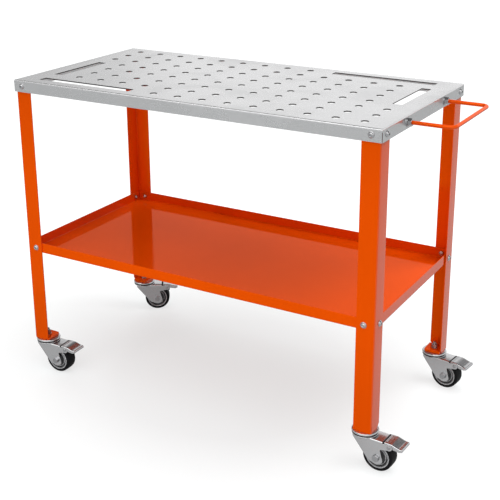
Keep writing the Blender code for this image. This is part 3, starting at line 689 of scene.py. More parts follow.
def noise(tree, vector, scale, detail, roughness=0.5, distortion=0.0):
    """A noise texture on a vector, as a value about 0.5."""
    values = {"Vector": vector, "Scale": scale, "Detail": detail}
    values |= {"Roughness": roughness, "Distortion": distortion}
    return node(tree, "ShaderNodeTexNoise", values).outputs["Fac"]


def spread(tree, value, low, high, to_low=0.0, to_high=1.0):
    """A value stretched from one range to another and held inside it."""
    values = {"Value": value, "From Min": low, "From Max": high, "To Min": to_low, "To Max": to_high}
    return node(tree, "ShaderNodeMapRange", values).outputs["Result"]


def arithmetic(tree, operation, *values):
    """The result of a Math node on its inputs in order."""
    return node(tree, "ShaderNodeMath", enumerate(values), operation=operation).outputs["Value"]


def by_ray(tree, direct, mirrored, other):
    """Strength for rays from the camera and through glass, for reflections, and for all other light."""
    path = node(tree, "ShaderNodeLightPath").outputs
    value = other
    choices = [("Is Glossy Ray", mirrored), ("Is Camera Ray", direct), ("Is Transmission Ray", direct)]
    for name, strength in choices:
        values = {"Factor": path[name], "A": value, "B": strength}
        value = node(tree, "ShaderNodeMix", values, data_type="FLOAT").outputs["Result"]
    return value


def rolled_grain(name):
    """Group: streaks of a rolled sheet, long along X, and the soft clouds of its coating."""
    group, given, result = new_group(name, {"Length": 6.0, "Fineness": 900.0}, ["Streaks", "Clouds"])
    place = node(group, "ShaderNodeTexCoord").outputs["Object"]
    fine = given["Fineness"]
    scale = node(group, "ShaderNodeCombineXYZ", {"X": given["Length"], "Y": fine, "Z": fine})
    stretch = node(group, "ShaderNodeMapping", {"Vector": place, "Scale": scale.outputs["Vector"]})
    streaks = noise(group, stretch.outputs["Vector"], scale=1.0, detail=4.0, roughness=0.6)
    clouds = noise(group, place, scale=9.0, detail=5.0, roughness=0.6)
    feed(group, result["Streaks"], spread(group, streaks, 0.25, 0.75))
    feed(group, result["Clouds"], spread(group, clouds, 0.3, 0.7))
    return group


def paint_skin(name):
    """Group: fine orange peel of a powder coat, its slow waves, and a slow drift of its tone."""
    group, given, result = new_group(name, {"Peel": 420.0, "Wave": 14.0}, ["Peel", "Wave", "Tone"])
    place = node(group, "ShaderNodeTexCoord").outputs["Object"]
    feed(group, result["Peel"], noise(group, place, given["Peel"], detail=2.0))
    feed(group, result["Wave"], noise(group, place, given["Wave"], detail=1.0))
    tone = noise(group, place, scale=5.0, detail=3.0)
    feed(group, result["Tone"], spread(group, tone, 0.3, 0.7))
    return group


def spray_film(name):
    """Group: weight of a clear coat that grows with how far a face is turned to the table's ends, a painted
    sheen on those faces.
    """
    group, given, result = new_group(name, {"Thin": 0.35, "Thick": 0.85}, ["Film"])
    place = node(group, "ShaderNodeTexCoord").outputs
    aim = node(group, "ShaderNodeSeparateXYZ", {"Vector": place["Normal"]}).outputs
    share = spread(group, arithmetic(group, "ABSOLUTE", aim["X"]), given["Thin"], given["Thick"])
    uneven = spread(group, noise(group, place["Object"], scale=9.0, detail=2.0), 0.3, 0.7, 0.85, 1.0)
    feed(group, result["Film"], arithmetic(group, "MULTIPLY", share, uneven))
    return group


def handling_marks(name):
    """Group: smudges where hands and tools have been, and a sparse web of fine scratches."""
    group, given, result = new_group(name, {"Smudge": 12.0, "Scratch": 60.0}, ["Smudges", "Scratches"])
    place = node(group, "ShaderNodeTexCoord").outputs["Object"]
    smudges = noise(group, place, given["Smudge"], detail=6.0, roughness=0.62, distortion=0.4)
    web = {"Vector": place, "Scale": given["Scratch"], "Randomness": 1.0}
    scratch = node(group, "ShaderNodeTexVoronoi", web, feature="DISTANCE_TO_EDGE")
    lines = spread(group, scratch.outputs["Distance"], 0.0, 0.012, 1.0, 0.0)
    broken = spread(group, noise(group, place, scale=35.0, detail=2.0), 0.55, 0.62)
    feed(group, result["Smudges"], spread(group, smudges, 0.48, 0.72))
    feed(group, result["Scratches"], arithmetic(group, "MULTIPLY", lines, broken))
    return group


def use_group(tree, build, **values):
    """Outputs of a shared group placed in a tree with its own values. It is built on its first use."""
    name = build.__name__.replace("_", " ")
    group = bpy.data.node_groups.get(name) or build(name)
    return node(tree, "ShaderNodeGroup", values, node_tree=group).outputs


def new_finish(name, **constants):
    """A material with constant values on its Principled BSDF. Returns it with its tree and shader."""
    material = bpy.data.materials.new(name)
    material.use_nodes = True
    shader = material.node_tree.nodes["Principled BSDF"]
    for socket, value in constants.items():
        shader.inputs[socket.replace("_", " ")].default_value = value
    return material, material.node_tree, shader


def two_tone(tree, shader, mask, rgb, low, high):
    """Base colour that runs with a mask between two shades of a colour.

    The Mix node has sockets of one name for each kind of data, so those of colours are taken by number.
    """
    first, second = ((*(min(1.0, part * factor) for part in rgb), 1) for factor in (low, high))
    blend = node(tree, "ShaderNodeMix", {0: mask, 6: first, 7: second}, data_type="RGBA")
    feed(tree, shader.inputs["Base Color"], blend.outputs[2])


def dulled(tree, shader, mask, low, high):
    """Roughness that runs with a mask between two values."""
    feed(tree, shader.inputs["Roughness"], spread(tree, mask, 0, 1, low, high))


def relief(tree, shader, *heights):
    """Bump nodes in a row: each height with its strength and depth in metres."""
    for height, strength, depth in heights:
        bump = node(tree, "ShaderNodeBump", {"Height": height, "Strength": strength, "Distance": depth})
        if shader.inputs["Normal"].is_linked:
            feed(tree, bump.inputs["Normal"], shader.inputs["Normal"].links[0].from_socket)
        feed(tree, shader.inputs["Normal"], bump.outputs["Normal"])


def rolled_zinc(name, rgb):
    """Zinc-coated sheet: satin grey with rolling streaks, clouds and a few handling marks."""
    material, tree, shader = new_finish(name, Metallic=0.85)
    grain = use_group(tree, rolled_grain, Length=4.0, Fineness=700.0)
    marks = use_group(tree, handling_marks, Smudge=7.0, Scratch=24.0)
    two_tone(tree, shader, grain["Clouds"], rgb, 0.97, 1.03)
    dulled(tree, shader, marks["Smudges"], 0.24, 0.34)
    relief(tree, shader, (grain["Streaks"], 0.002, 0.0002), (marks["Scratches"], 0.005, 0.0002))
    return material


def cut_steel(name, rgb):
    """Edge left by the cutter: matt and streaked across the sheet, and near black as painted shade inside the
    holes.
    """
    material, tree, shader = new_finish(name, Metallic=0.5)
    grain = use_group(tree, rolled_grain, Length=900.0, Fineness=900.0)
    two_tone(tree, shader, grain["Streaks"], rgb, 0.8, 1.2)
    dulled(tree, shader, grain["Streaks"], 0.45, 0.65)
    relief(tree, shader, (grain["Streaks"], 0.2, 0.0002))
    return material


def sprayed_paint(name, rgb, thin, thick):
    """Gloss paint: deep colour, faint orange peel and slow waves that bend its reflections.

    Its clear coat, a painted sheen, grows from none to full between two shares of a face turned to the ends.
    """
    material, tree, shader = new_finish(
        name, Metallic=0.28, Specular_IOR_Level=0.0, Coat_IOR=1.52, Coat_Roughness=0.08
    )
    side_sheen = use_group(tree, spray_film, Thin=thin, Thick=thick)
    skin = use_group(tree, paint_skin, Peel=500.0, Wave=16.0)
    marks = use_group(tree, handling_marks, Smudge=9.0, Scratch=20.0)
    # Painted sheen: the coat's weight follows the direction a face is turned
    feed(tree, shader.inputs["Coat Weight"], side_sheen["Film"])
    two_tone(tree, shader, skin["Tone"], rgb, 0.97, 1.03)
    dulled(tree, shader, marks["Smudges"], 0.06, 0.12)
    relief(tree, shader, (skin["Wave"], 0.04, 0.002), (skin["Peel"], 0.03, 0.0002))
    return material


def plated_steel(name, rgb, smooth, rough):
    """Plated steel: cloudy tone, roughness between two values with its smudges, and a very fine grain."""
    material, tree, shader = new_finish(name, Metallic=0.95)
    skin = use_group(tree, paint_skin, Peel=700.0, Wave=60.0)
    marks = use_group(tree, handling_marks, Smudge=40.0, Scratch=90.0)
    two_tone(tree, shader, skin["Tone"], rgb, 0.95, 1.05)
    dulled(tree, shader, marks["Smudges"], smooth, rough)
    relief(tree, shader, (skin["Wave"], 0.05, 0.0005), (marks["Scratches"], 0.04, 0.0001))
    return material


def moulding(name, rgb, specular, smooth, rough):
    """Moulded rubber or plastic: a fine moulded skin, and smudges that are paler and duller."""
    material, tree, shader = new_finish(name, Specular_IOR_Level=specular)
    skin = use_group(tree, paint_skin, Peel=1500.0, Wave=80.0)
    marks = use_group(tree, handling_marks, Smudge=55.0, Scratch=160.0)
    two_tone(tree, shader, marks["Smudges"], rgb, 1.0, 1.5)
    dulled(tree, shader, marks["Smudges"], smooth, rough)
    relief(tree, shader, (skin["Peel"], 0.12, 0.0002))
    return material


def finish_of(name):
    """The finish of a name, made on its first use with its colour and the values that set it apart."""
    colours = bpy.context.scene.welding_table.finish
    makers = {
        "zinc sheet": (rolled_zinc, colours.zinc),
        "cut edge": (cut_steel, colours.cut_edge),
        # Both paints carry a painted sheen on faces turned to the table's ends; the rod's range gives it more
        "orange paint": (sprayed_paint, colours.orange, 0.35, 0.85),
        "rod paint": (sprayed_paint, colours.orange, -0.3, 2.2),
        "zinc pressing": (plated_steel, colours.pressing, 0.17, 0.27),
        "bright steel": (plated_steel, colours.steel, 0.12, 0.20),
        "dull steel": (plated_steel, colours.dull_steel, 0.3, 0.42),
        "tyre rubber": (moulding, colours.rubber, 0.1, 0.5, 0.7),
        "grey hub": (moulding, colours.hub, 0.4, 0.35, 0.5),
        # The hub's rings are paler than the hub, a painted highlight
        "hub rim": (moulding, colours.rim, 0.5, 0.25, 0.4),
    }
    maker, *values = makers[name]
    return bpy.data.materials.get(name) or maker(name, *values)


# Operators


class TableOperator:
    """What the operators share."""

    bl_options = {"REGISTER", "UNDO"}

    def execute(self, context):
        self.make(context.scene.welding_table)
        return {"FINISHED"}


class WELDINGTABLE_OT_stage(TableOperator, bpy.types.Operator):
    """Floor, lamps, world and camera"""

    bl_idname = "welding_table.stage"
    bl_label = "Stage"

    def make(self, table):
        for name in ("Cube", "Light", "Camera"):
            if name in bpy.data.objects:
                bpy.data.objects.remove(bpy.data.objects[name])
        self.add_camera(table.stage)
        self.add_lamps(table.stage)
        self.add_world(table.stage)
        self.add_floor(table.stage)
        bpy.context.scene.view_settings.view_transform = "Standard"

    def add_camera(self, stage):
        camera = bpy.data.objects.new("camera", bpy.data.cameras.new("camera"))
        camera.data.lens = stage.lens
        camera.data.shift_y = stage.shift
        camera.location = stage.place
        camera.rotation_euler = stage.turn
        bpy.context.scene.collection.objects.link(camera)
        bpy.context.scene.camera = camera

    def add_lamps(self, stage):
        """Broad suns from above and behind, a softbox on the right and a low panel in front.

        None of them is seen in reflections.
        """
        self.sun("key", stage.key, width=70, tilt=28, turn=32)
        self.sun("back", stage.back, width=40, tilt=-50, turn=48)
        softbox = self.lamp("softbox", "AREA", stage.softbox)
        softbox.data.shape = "SQUARE"
        softbox.data.size = 1.4
        place, aim = Vector((1.25, 0.5, 2.35)), Vector((0.2, 0.0, 0.65))
        softbox.location = place
        softbox.rotation_euler = (place - aim).to_track_quat("Z", "Y").to_euler()
        panel = self.lamp("panel", "AREA", stage.panel)
        panel.data.shape = "RECTANGLE"
        panel.data.size, panel.data.size_y = 2.2, 0.5
        panel.data.spread = math.radians(110)
        panel.location = (0.1, -1.15, 0.3)
        panel.rotation_euler = (math.radians(104), 0, 0)

    def sun(self, name, energy, width, tilt, turn):
        """A sun of a width, tilted from straight down and then turned about Z, all in degrees."""
        made = self.lamp(name, "SUN", energy)
        made.data.angle = math.radians(width)
        made.rotation_euler = (math.radians(tilt), 0, math.radians(turn))

    def lamp(self, name, kind, energy):
        made = bpy.data.objects.new(name, bpy.data.lights.new(name, kind))
        made.data.energy = energy
        made.visible_camera = False
        made.visible_glossy = False
        bpy.context.scene.collection.objects.link(made)
        return made

    def add_world(self, stage):
        """White to the camera and a weak fill for other light.

        In reflections the walls grow brighter from left to right, under a darker ceiling with a bright window
        in front. The limits are parts of the ray's direction.
        """
        world = bpy.data.worlds.new("studio")
        world.use_nodes = True
        tree = world.node_tree
        background = tree.nodes["Background"]
        background.inputs["Color"].default_value = (1, 1, 1, 1)
        ray = node(tree, "ShaderNodeTexCoord").outputs["Generated"]
        aim = node(tree, "ShaderNodeSeparateXYZ", {"Vector": ray}).outputs
        walls = spread(tree, aim["X"], -0.655, -0.545, 0.60, 1.0)
        ceiling = spread(tree, aim["Z"], 0.46, 0.60, 1.0, stage.ceiling)
        in_front = spread(tree, aim["Y"], -0.25, -0.40)
        high_up = spread(tree, aim["Z"], 0.52, 0.60, 0.0, stage.window)
        room = arithmetic(tree, "MULTIPLY", walls, ceiling)
        window = arithmetic(tree, "MULTIPLY", in_front, high_up)
        mirrored = arithmetic(tree, "MAXIMUM", room, window)
        feed(tree, background.inputs["Strength"], by_ray(tree, 1.0, mirrored, stage.fill))
        bpy.context.scene.world = world

    def add_floor(self, stage):
        """Pale floor whose glow shows only to the camera and in reflections, so the shadow stays.

        The glow grows from under the table to well away from it: the lower glow under the table is painted
        shade there.
        """
        reach, under, away = 8, 0.30, 1.0
        mesh = bpy.data.meshes.new("floor")
        corners = reach * np.array([(-1, -1, 0), (1, -1, 0), (1, 1, 0), (-1, 1, 0)]) - (0, 0, WELD)
        mesh.from_pydata(corners.tolist(), [], [(0, 1, 2, 3)])
        floor = bpy.data.objects.new("floor", mesh)
        bpy.context.scene.collection.objects.link(floor)
        material, tree, shader = new_finish("pale floor", Roughness=1.0, Specular_IOR_Level=0.0)
        shader.inputs["Base Color"].default_value = (*stage.floor, 1)
        shader.inputs["Emission Color"].default_value = (1, 1, 1, 1)
        place = node(tree, "ShaderNodeTexCoord").outputs["Object"]
        distance = node(tree, "ShaderNodeVectorMath", {0: place}, operation="LENGTH").outputs["Value"]
        # Painted shade: less glow under the table, rising to an even white well away from it
        glow = spread(tree, distance, under, away, stage.glow, stage.far_glow)
        feed(tree, shader.inputs["Emission Strength"], by_ray(tree, glow, stage.mirrored_glow, 0.0))
        mesh.materials.append(material)


class WELDINGTABLE_OT_table_top(TableOperator, bpy.types.Operator):
    """Perforated top with folded aprons"""

    bl_idname = "welding_table.table_top"
    bl_label = "Table top"

    def make(self, table):
        """Cells pierced by holes and blocks of cells pierced by slots, on a grid inside folded edges."""
        top = table.top
        levels = top.height - top.sheet, top.height - top.land, top.height
        span = np.array([top.long - 2 * top.margin_x, top.wide - 2 * top.margin_y])
        counts = np.array([top.columns, top.rows])
        pitch = span / (counts - 1)
        cell_points = np.array([8, 8])
        x, y = (np.linspace(-span[axis] / 2, span[axis] / 2, counts[axis]) for axis in (0, 1))
        centres = np.stack(np.meshgrid(x, y, indexing="ij"), -1).reshape(-1, 2)
        free = np.ones(len(centres), bool)
        shapes = []
        for middle, half, cells in self.slots(top, span / 2, pitch):
            block = pitch * cells / 2
            outline = rectangle_loop(block, cell_points * cells)
            opening, flared = outline * (half / block), outline * ((half + top.flare) / block)
            shapes.append(repeated(pierced_cell(outline, opening, flared, *levels), middle[None]))
            free &= (np.abs(centres - middle) > block).any(axis=1)
        outline = rectangle_loop(pitch / 2, cell_points)
        low_corner = math.radians(225)
        angles = low_corner + turn_of(len(outline))
        circle = np.stack([np.cos(angles), np.sin(angles)], -1)
        opening, flared = top.hole / 2 * circle, (top.hole / 2 + top.flare) * circle
        shapes.append(repeated(pierced_cell(outline, opening, flared, *levels), centres[free]))
        half = np.array([top.long, top.wide]) / 2
        field = (span + pitch) / 2
        edges = top.height, top.sheet, top.bend, -1, top.apron, top.seam
        shapes.append(folded_edges(half, counts * cell_points, field, *edges))
        piece = add_piece("perforated_top", shapes, "table", "zinc sheet", ["table_top"])

        def walls(middles, normals):
            level = np.abs(normals[:, 2]) > 0.9
            return ~level & (np.abs(middles[:, :2]) < field).all(axis=1)

        # Walls of the holes and slots take a near-black finish, painted shade inside them
        finish_faces(piece, "cut edge", walls)
        round_edges(piece, width=0.0003)

    def slots(self, top, edge, pitch):
        """Middle, half sizes and cells of each slot. The last two are the first two turned half round."""
        long_half = np.array([top.long_slot, top.slot]) / 2
        short_half = np.array([top.slot, top.short_slot]) / 2
        for turn in (1, -1):
            yield turn * (edge - pitch * (2, 0)), long_half, np.array([5, 1])
            yield turn * np.array([edge[0], pitch[1]]), short_half, np.array([1, 4])


class WELDINGTABLE_OT_legs(TableOperator, bpy.types.Operator):
    """Four angle legs with their base plates"""

    bl_idname = "welding_table.legs"
    bl_label = "Legs"

    def make(self, table):
        base = self.base(table.body, table.caster.stem / 2 + CLEARANCE)
        for name, (sx, sy) in SIDES.items():
            corner = leg_faces(table.top) * (sx, sy)
            matrix = Matrix.Translation((*corner, 0)) @ Matrix.Diagonal((-sx, -sy, 1, 1))
            shapes = [placed(shape, matrix) for shape in (self.angle(table.body), base)]
            piece = corner_piece("angle", name, shapes, "table", "orange paint", "orange_paint", "leg")
            round_edges(piece, width=0.0005)

    def angle(self, body):
        """L profile carried upright: two flanges, cut at the foot, and a quarter-circle bend."""
        centre = (body.leg_bend, body.leg_bend)
        edge, cut = body.flange, body.flange - body.chamfer

        def path(radius):
            face = body.leg_bend - radius
            bend = arc(centre, radius, 270, 180, 9)
            return np.concatenate([[(edge, face), (cut, face)], bend, [(face, cut), (face, edge)]])

        outer, inner = path(body.leg_bend), path(body.leg_bend - body.leg_sheet)
        low = np.full(len(outer), body.foot)
        low[[0, -1]] += body.chamfer
        high = np.full(len(outer), body.leg_top)
        faces = [np.stack([np.column_stack([p, z]) for z in (low, high)]) for p in (outer, inner)]
        return thick_sheet(*faces)

    def base(self, body, bore):
        """Plate with a cut corner round the stem's hole: along each ray the nearest of its straight sides."""
        stem = body.stem_inset
        reach = body.base_size - stem
        back = stem - body.leg_sheet + CLEARANCE
        slant = math.sqrt(2) * (reach - body.base_cut / 2)
        sides = [(0, reach), (45, slant), (90, reach), (180, back), (270, back)]
        corners = np.degrees(np.arctan2([-back, -back, reach], [-back, reach, -back]))
        cut = np.degrees(np.arctan2(reach - body.base_cut, reach))
        even = np.arange(0, 360, 6)
        angles = np.radians(np.unique(np.concatenate([even, corners % 360, [cut, 90 - cut]])))
        towards = [np.cos(angles - math.radians(turn)) for turn, _ in sides]
        grazing, never = 0.01, 1
        rays = [
            np.where(share > grazing, side / np.maximum(share, grazing), never)
            for share, (_, side) in zip(towards, sides)
        ]
        ring = np.stack([np.cos(angles), np.sin(angles)], -1)
        outline, hole = np.min(rays, axis=0)[:, None] * ring, bore * ring
        rows = [(outline, 0), (outline, body.base), (hole, body.base), (hole, 0), (outline, 0)]
        return surface(np.stack([lying(loop + stem, body.foot + z) for loop, z in rows]), ring=True)


class WELDINGTABLE_OT_shelf(TableOperator, bpy.types.Operator):
    """Tray shelf with upturned lips"""

    bl_idname = "welding_table.shelf"
    bl_label = "Shelf"

    def make(self, table):
        """Folded edges round two flat grids, the faces of the tray's floor."""
        body = table.body
        half = shelf_half(table.top, body)
        border = 0.02
        field = half - border
        counts = np.array([24, 12])
        floor, sheet = body.shelf_height, body.shelf_sheet
        edges = floor, sheet, body.shelf_bend, 1, body.lip, body.lip_seam
        u, v = np.meshgrid(*(np.linspace(-1, 1, count + 1) for count in counts), indexing="ij")
        faces = [np.stack([u * field[0], v * field[1], np.full(u.shape, floor + z)], -1) for z in (0, sheet)]
        shapes = [folded_edges(half, counts, field, *edges)] + [surface(face) for face in faces]
        piece = add_piece("tray", shapes, "table", "orange paint", ["shelf_tray"])
        round_edges(piece, width=0.0003)


class WELDINGTABLE_OT_handle(TableOperator, bpy.types.Operator):
    """Push handle with its nuts"""

    bl_idname = "welding_table.handle"
    bl_label = "Push handle"

    def make(self, table):
        handle, top = table.handle, table.top
        face, height = top.long / 2, top.height - top.apron / 2
        inside = top.sheet + CLEARANCE
        past_nut, slack = 0.0015, 0.0001
        end = face - inside - handle.nut_height - past_nut
        shape = self.rod(handle, face, end, height)
        rod = add_piece("bent_rod", [shape], "table", "rod paint", ["push_handle"])
        rod.data.set_sharp_from_angle(angle=math.radians(50))
        bore = handle.rod / 2 + slack
        inner = nut_surface(handle.nut, handle.nut_height, bore)
        outer = nut_surface(handle.nut, handle.nut_height, bore, handle.washer, handle.washer_sheet)
        nuts = [("nut", outer, 1, face + CLEARANCE), ("lock_nut", inner, -1, face - inside)]
        for name, side in (("front", -1), ("rear", 1)):
            y = side * handle.spread / 2
            for kind, nut, out, x in nuts:
                shape = placed(nut, facing((out, 0, 0), (x, y, height)))
                nodes = [f"handle_{kind}_{name}"]
                add_piece(f"rod_{kind}_{name}", [shape], "table", "bright steel", nodes)

    def rod(self, handle, face, end, height):
        """Circle carried along a U: two straight ends, two quarter-circle bends and the far bar."""
        cut = 0.0007
        far, side = face + handle.reach, handle.spread / 2
        bend_x, bend_y = far - handle.bend, side - handle.bend
        start = [(end, -side), (end, -side), (end + cut, -side)]
        finish = [(x, -y) for x, y in reversed(start)]
        bends = [
            arc((bend_x, -bend_y), handle.bend, -90, 0, 12),
            arc((bend_x, bend_y), handle.bend, 0, 90, 12),
        ]
        path = np.concatenate([start, *bends, finish])
        radii = np.full(len(path), handle.rod / 2)
        radii[[1, -2]] -= cut
        radii[[0, -1]] = 0
        return tube_with_ends(lying(path, height), radii)


class WELDINGTABLE_OT_bolts(TableOperator, bpy.types.Operator):
    """Bolts and nuts that hold the top, the legs and the shelf"""

    bl_idname = "welding_table.bolts"
    bl_label = "Bolts"

    def make(self, table):
        top, body, bolt = table.top, table.body, table.bolt
        legs = leg_faces(top)
        inside_leg = top.sheet + 2 * CLEARANCE + body.leg_sheet
        inside_lip = legs[0] - shelf_half(top, body)[0] + body.shelf_sheet
        top_sites = bolt_sites(top.long / 2, top.wide / 2, top.bolt_inset, top.height - top.apron / 2)
        shelf_sites = bolt_sites(*legs, body.bolt_inset, body.shelf_height + body.lip / 2)
        start, past_nut, pitch = 0.0005, 0.0012, 0.001
        head = head_surface(bolt)
        nut = nut_surface(bolt.nut, bolt.nut_height, bolt.shank / 2)
        thread = thread_surface(bolt.shank / 2, start, bolt.nut_height + past_nut, pitch)
        for name, sites, inside in (("top", top_sites, inside_leg), ("shelf", shelf_sites, inside_lip)):
            inward = Matrix.Translation((0, 0, -inside)) @ Matrix.Rotation(math.pi, 4, "X")
            matrices = [facing(direction, point) for point, direction in sites]
            heads = [placed(head, matrix) for matrix in matrices]
            ends = [placed(shape, matrix @ inward) for matrix in matrices for shape in (nut, thread)]
            add_piece(f"{name}_bolt_heads", heads, "table", "bright steel")
            add_piece(f"{name}_bolt_nuts", ends, "table", "bright steel")


class WELDINGTABLE_OT_swivels(TableOperator, bpy.types.Operator):
    """Swivel races, stems and their nuts"""

    bl_idname = "welding_table.swivels"
    bl_label = "Swivels"

    # Thickness of the washer under a stem's nut
    washer_sheet = 0.0016

    def make(self, table):
        caster, body = table.caster, table.body
        seat = body.foot + body.base + CLEARANCE
        nut = nut_surface(
            caster.stem_nut, caster.stem_nut_height, caster.stem / 2, caster.stem_washer, self.washer_sheet
        )
        nut = placed(nut, Matrix.Translation((0, 0, seat)))
        pieces = [
            ("race", self.race(caster), "zinc pressing", "zinc_pressing", "swivel_race"),
            # A seal ring in black rubber, also painted shade in the gap under the race
            ("dust_seal", self.seal(caster), "tyre rubber", "tyre_rubber"),
            ("stem_lock_nut", nut, "dull steel", "bright_steel", "stem_nut"),
            ("stem", self.stem(caster, seat), "dull steel", "bright_steel", "king_pin"),
        ]
        for corner, stem, _ in casters():
            for name, shape, *look in pieces:
                corner_piece(name, corner, [placed(shape, stem)], "table", *look)
            dress_node(f"ball_ring_{corner}", "dull steel")

    def race(self, caster):
        """Dished ring: a flat top, a rounded shoulder and a skirt round the balls."""
        outer, sheet = caster.race / 2, 0.0022
        bore = caster.stem / 2 + CLEARANCE
        low, high = caster.race_low, caster.race_high
        inside = [(bore, high), (bore, high - sheet), (outer - sheet, high - sheet), (outer - sheet, low)]
        shoulder = [(outer, high - 0.0024), (outer - 0.0009, high - 0.0008), (outer - 0.0040, high)]
        profile = inside + [(outer, low)] + shoulder + inside[:1]
        return turned(rounded(profile, radius=0.0006), sides=72)

    def seal(self, caster):
        """Dark ring in the gap between the race and the fork's crown, set a little into both: a seal, and
        painted shade that darkens the gap.
        """
        inset, width, into_crown, into_race = 0.0009, 0.004, 0.0001, 0.0002
        outer = caster.crown / 2 - inset
        inner = outer - width
        low, high = caster.crown_top - into_crown, caster.race_low + into_race
        return turned([(inner, low), (outer, low), (outer, high), (inner, high), (inner, low)], sides=72)

    def stem(self, caster, seat):
        """Riveted head under the fork, shank and threaded end."""
        radius, pitch, past_nut = caster.stem / 2, 0.00175, 0.006
        head, narrow, wide = 0.004, 0.008, 0.010
        high = caster.crown_top - caster.fork_sheet - CLEARANCE
        low = high - head
        top = seat + self.washer_sheet + caster.stem_nut_height + past_nut
        shank = [(0, low), (narrow, low), (wide, high), (radius, high), (radius, seat), (0, seat)]
        thread = thread_surface(radius, seat, top, pitch)
        return together([turned(rounded(shank, radius=0.0003), sides=40), thread])


class WELDINGTABLE_OT_forks(TableOperator, bpy.types.Operator):
    """Pressed forks, axles and pedal pins"""

    bl_idname = "welding_table.forks"
    bl_label = "Forks"

    def make(self, table):
        caster = table.caster
        seat = caster.fork / 2 + CLEARANCE
        outside = Matrix.Translation((0, 0, seat))
        nut = nut_surface(caster.axle_nut, caster.axle_nut_height, caster.axle / 2)
        for corner, stem, pin in casters():
            body = f"swivel_{corner}"
            fork = [placed(self.channel(caster, pin), stem)]
            sheet = corner_piece("pressed_fork", corner, fork, body, "zinc pressing", "zinc_pressing", "fork")
            thicken(sheet, caster.fork_sheet)
            round_edges(sheet, width=0.0006)
            crown = [placed(self.crown(caster), stem)]
            corner_piece("fork_crown", corner, crown, body, "zinc pressing", "zinc_pressing")
            buffer = [placed(self.buffer(caster), stem)]
            corner_piece("pedal_buffer", corner, buffer, body, "tyre rubber", "tyre_rubber")
            near, far = (lying_across(stem, caster.trail, caster.wheel, turn) @ outside for turn in (90, -90))
            lock = [placed(nut, far)]
            corner_piece("axle_lock_nut", corner, lock, body, "dull steel", "bright_steel", "axle_nut")
            head, shank, end = self.axle(caster, seat)
            bolt = [placed(head, near), placed(shank, near), placed(end, far)]
            corner_piece("axle", corner, bolt, body, "dull steel", "bright_steel", "axle_bolt")
            dress_node(f"axle_bush_{corner}", "dull steel")
            rivet = [placed(self.rivet(seat), lying_across(stem, *pin))]
            corner_piece("pedal_rivet", corner, rivet, body, "dull steel", "zinc_pressing", "pedal_pin")

    def channel(self, caster, pin):
        """Roof and both sides of the fork as one open sheet.

        The roof falls gently from the crown to its end. A quarter circle along each long edge turns it into a
        flat side, whose outline is a chain of lines and arcs with rounded corners: front edge, arm round the
        axle, notch and horn round the pedal's pin.
        """
        half, bend = caster.fork / 2, 0.0035
        roof_start, roof_drop, roof_fall = -0.020, 0.0010, 0.0004
        x = np.linspace(roof_start, caster.roof_end, 12)
        top = caster.crown_top - roof_drop - roof_fall * (x - x[0]) / (x[-1] - x[0])
        across, fall = (values[:, None] for values in rolled_edges(half, bend))
        roof = surface(np.stack([x + 0 * across, across + 0 * x, top - fall], -1))
        axle = np.array([caster.trail, caster.wheel])
        edge = np.column_stack([x, top - bend])
        arm = arc(axle, caster.arm, 235, 341, 12)
        horn = arc(pin, caster.horn, -105, 95, 16)
        brow, belly, chin = (-0.0195, 0.0690), axle + (-0.0350, 0.0100), axle + (-0.0185, -0.0105)
        front = rounded([edge[0], brow, belly, chin, arm[0]], radius=[0.006, 0.012, 0.008], steps=7)
        throat = axle + (0.0074, 0.0210)
        notch = rounded([arm[-1], throat, horn[0]], radius=0.003, steps=6)
        outline = np.concatenate([edge[::-1], front[1:-1], arm, notch[1:-1], horn])
        return together([roof] + [plate(standing(outline, side)) for side in (-half, half)])

    def crown(self, caster):
        """Dished crown: a round rim under the race, and a skirt that curves in to the fork's sides."""
        rim, top, wall = caster.crown / 2, caster.crown_top, caster.fork / 2
        bore = caster.stem / 2 + 2 * CLEARANCE
        roof, low, inner = top - 0.0025, top - 0.0120, wall - 0.0022
        edge = [(rim - 0.0006, top), (rim, top - 0.0010), (rim - 0.0008, top - 0.0024)]
        skirt = [(wall + 0.0028, top - 0.0046), (wall + 0.0006, top - 0.0085), (wall, low)]
        inside = [(inner, low), (inner, top - 0.0075), (rim - 0.0035, roof), (bore, roof), (bore, top)]
        return turned(rounded(inside[-1:] + edge + skirt + inside, radius=0.0011), sides=72)

    def buffer(self, caster):
        """Rubber strip on the end of the roof, in the gap before the pedal's heel."""
        low_drop, high_drop, overlap, inset = 0.0045, 0.0016, 0.0005, 0.0012
        low, high = caster.crown_top - low_drop, caster.crown_top - high_drop
        near, far = caster.roof_end - overlap, caster.roof_end + caster.heel_gap - 2 * CLEARANCE
        outline = np.array([(near, low), (far, low), (far, high), (near, high)])
        half = caster.fork / 2 - inset
        return side_prism(outline, -half, half)

    def rivet(self, seat):
        """Pin across the horns, with a low domed head at each end."""
        dome = [(0, seat + 0.0014), (0.0024, seat + 0.0013), (0.0038, seat + 0.0007), (0.00425, seat)]
        shank = 0.0025
        near = dome + [(shank, seat)]
        far = [(radius, -z) for radius, z in reversed(near)]
        return turned(rounded(near + far, radius=0.0004), sides=36)

    def axle(self, caster, seat):
        """Hexagon head with its outer corners cut back, plain shank and threaded end of the axle's bolt.

        The thread starts inside the shank.
        """
        radius, top = caster.axle / 2, caster.axle_nut_height
        inside, into_head, past_nut, pitch = 0.0005, 0.001, 0.0015, 0.00125
        angles, side, circle, drop = cut_hexagon(caster.axle_nut)
        head = swept_rows([(0, 0), (side, 0), (side, top - drop), (circle, top), (0, top)], angles)
        low, high = -2 * seat, into_head
        shank = turned([(0, low), (radius, low), (radius, high), (0, high)], sides=32)
        return head, shank, thread_surface(radius, -inside, top + past_nut, pitch)


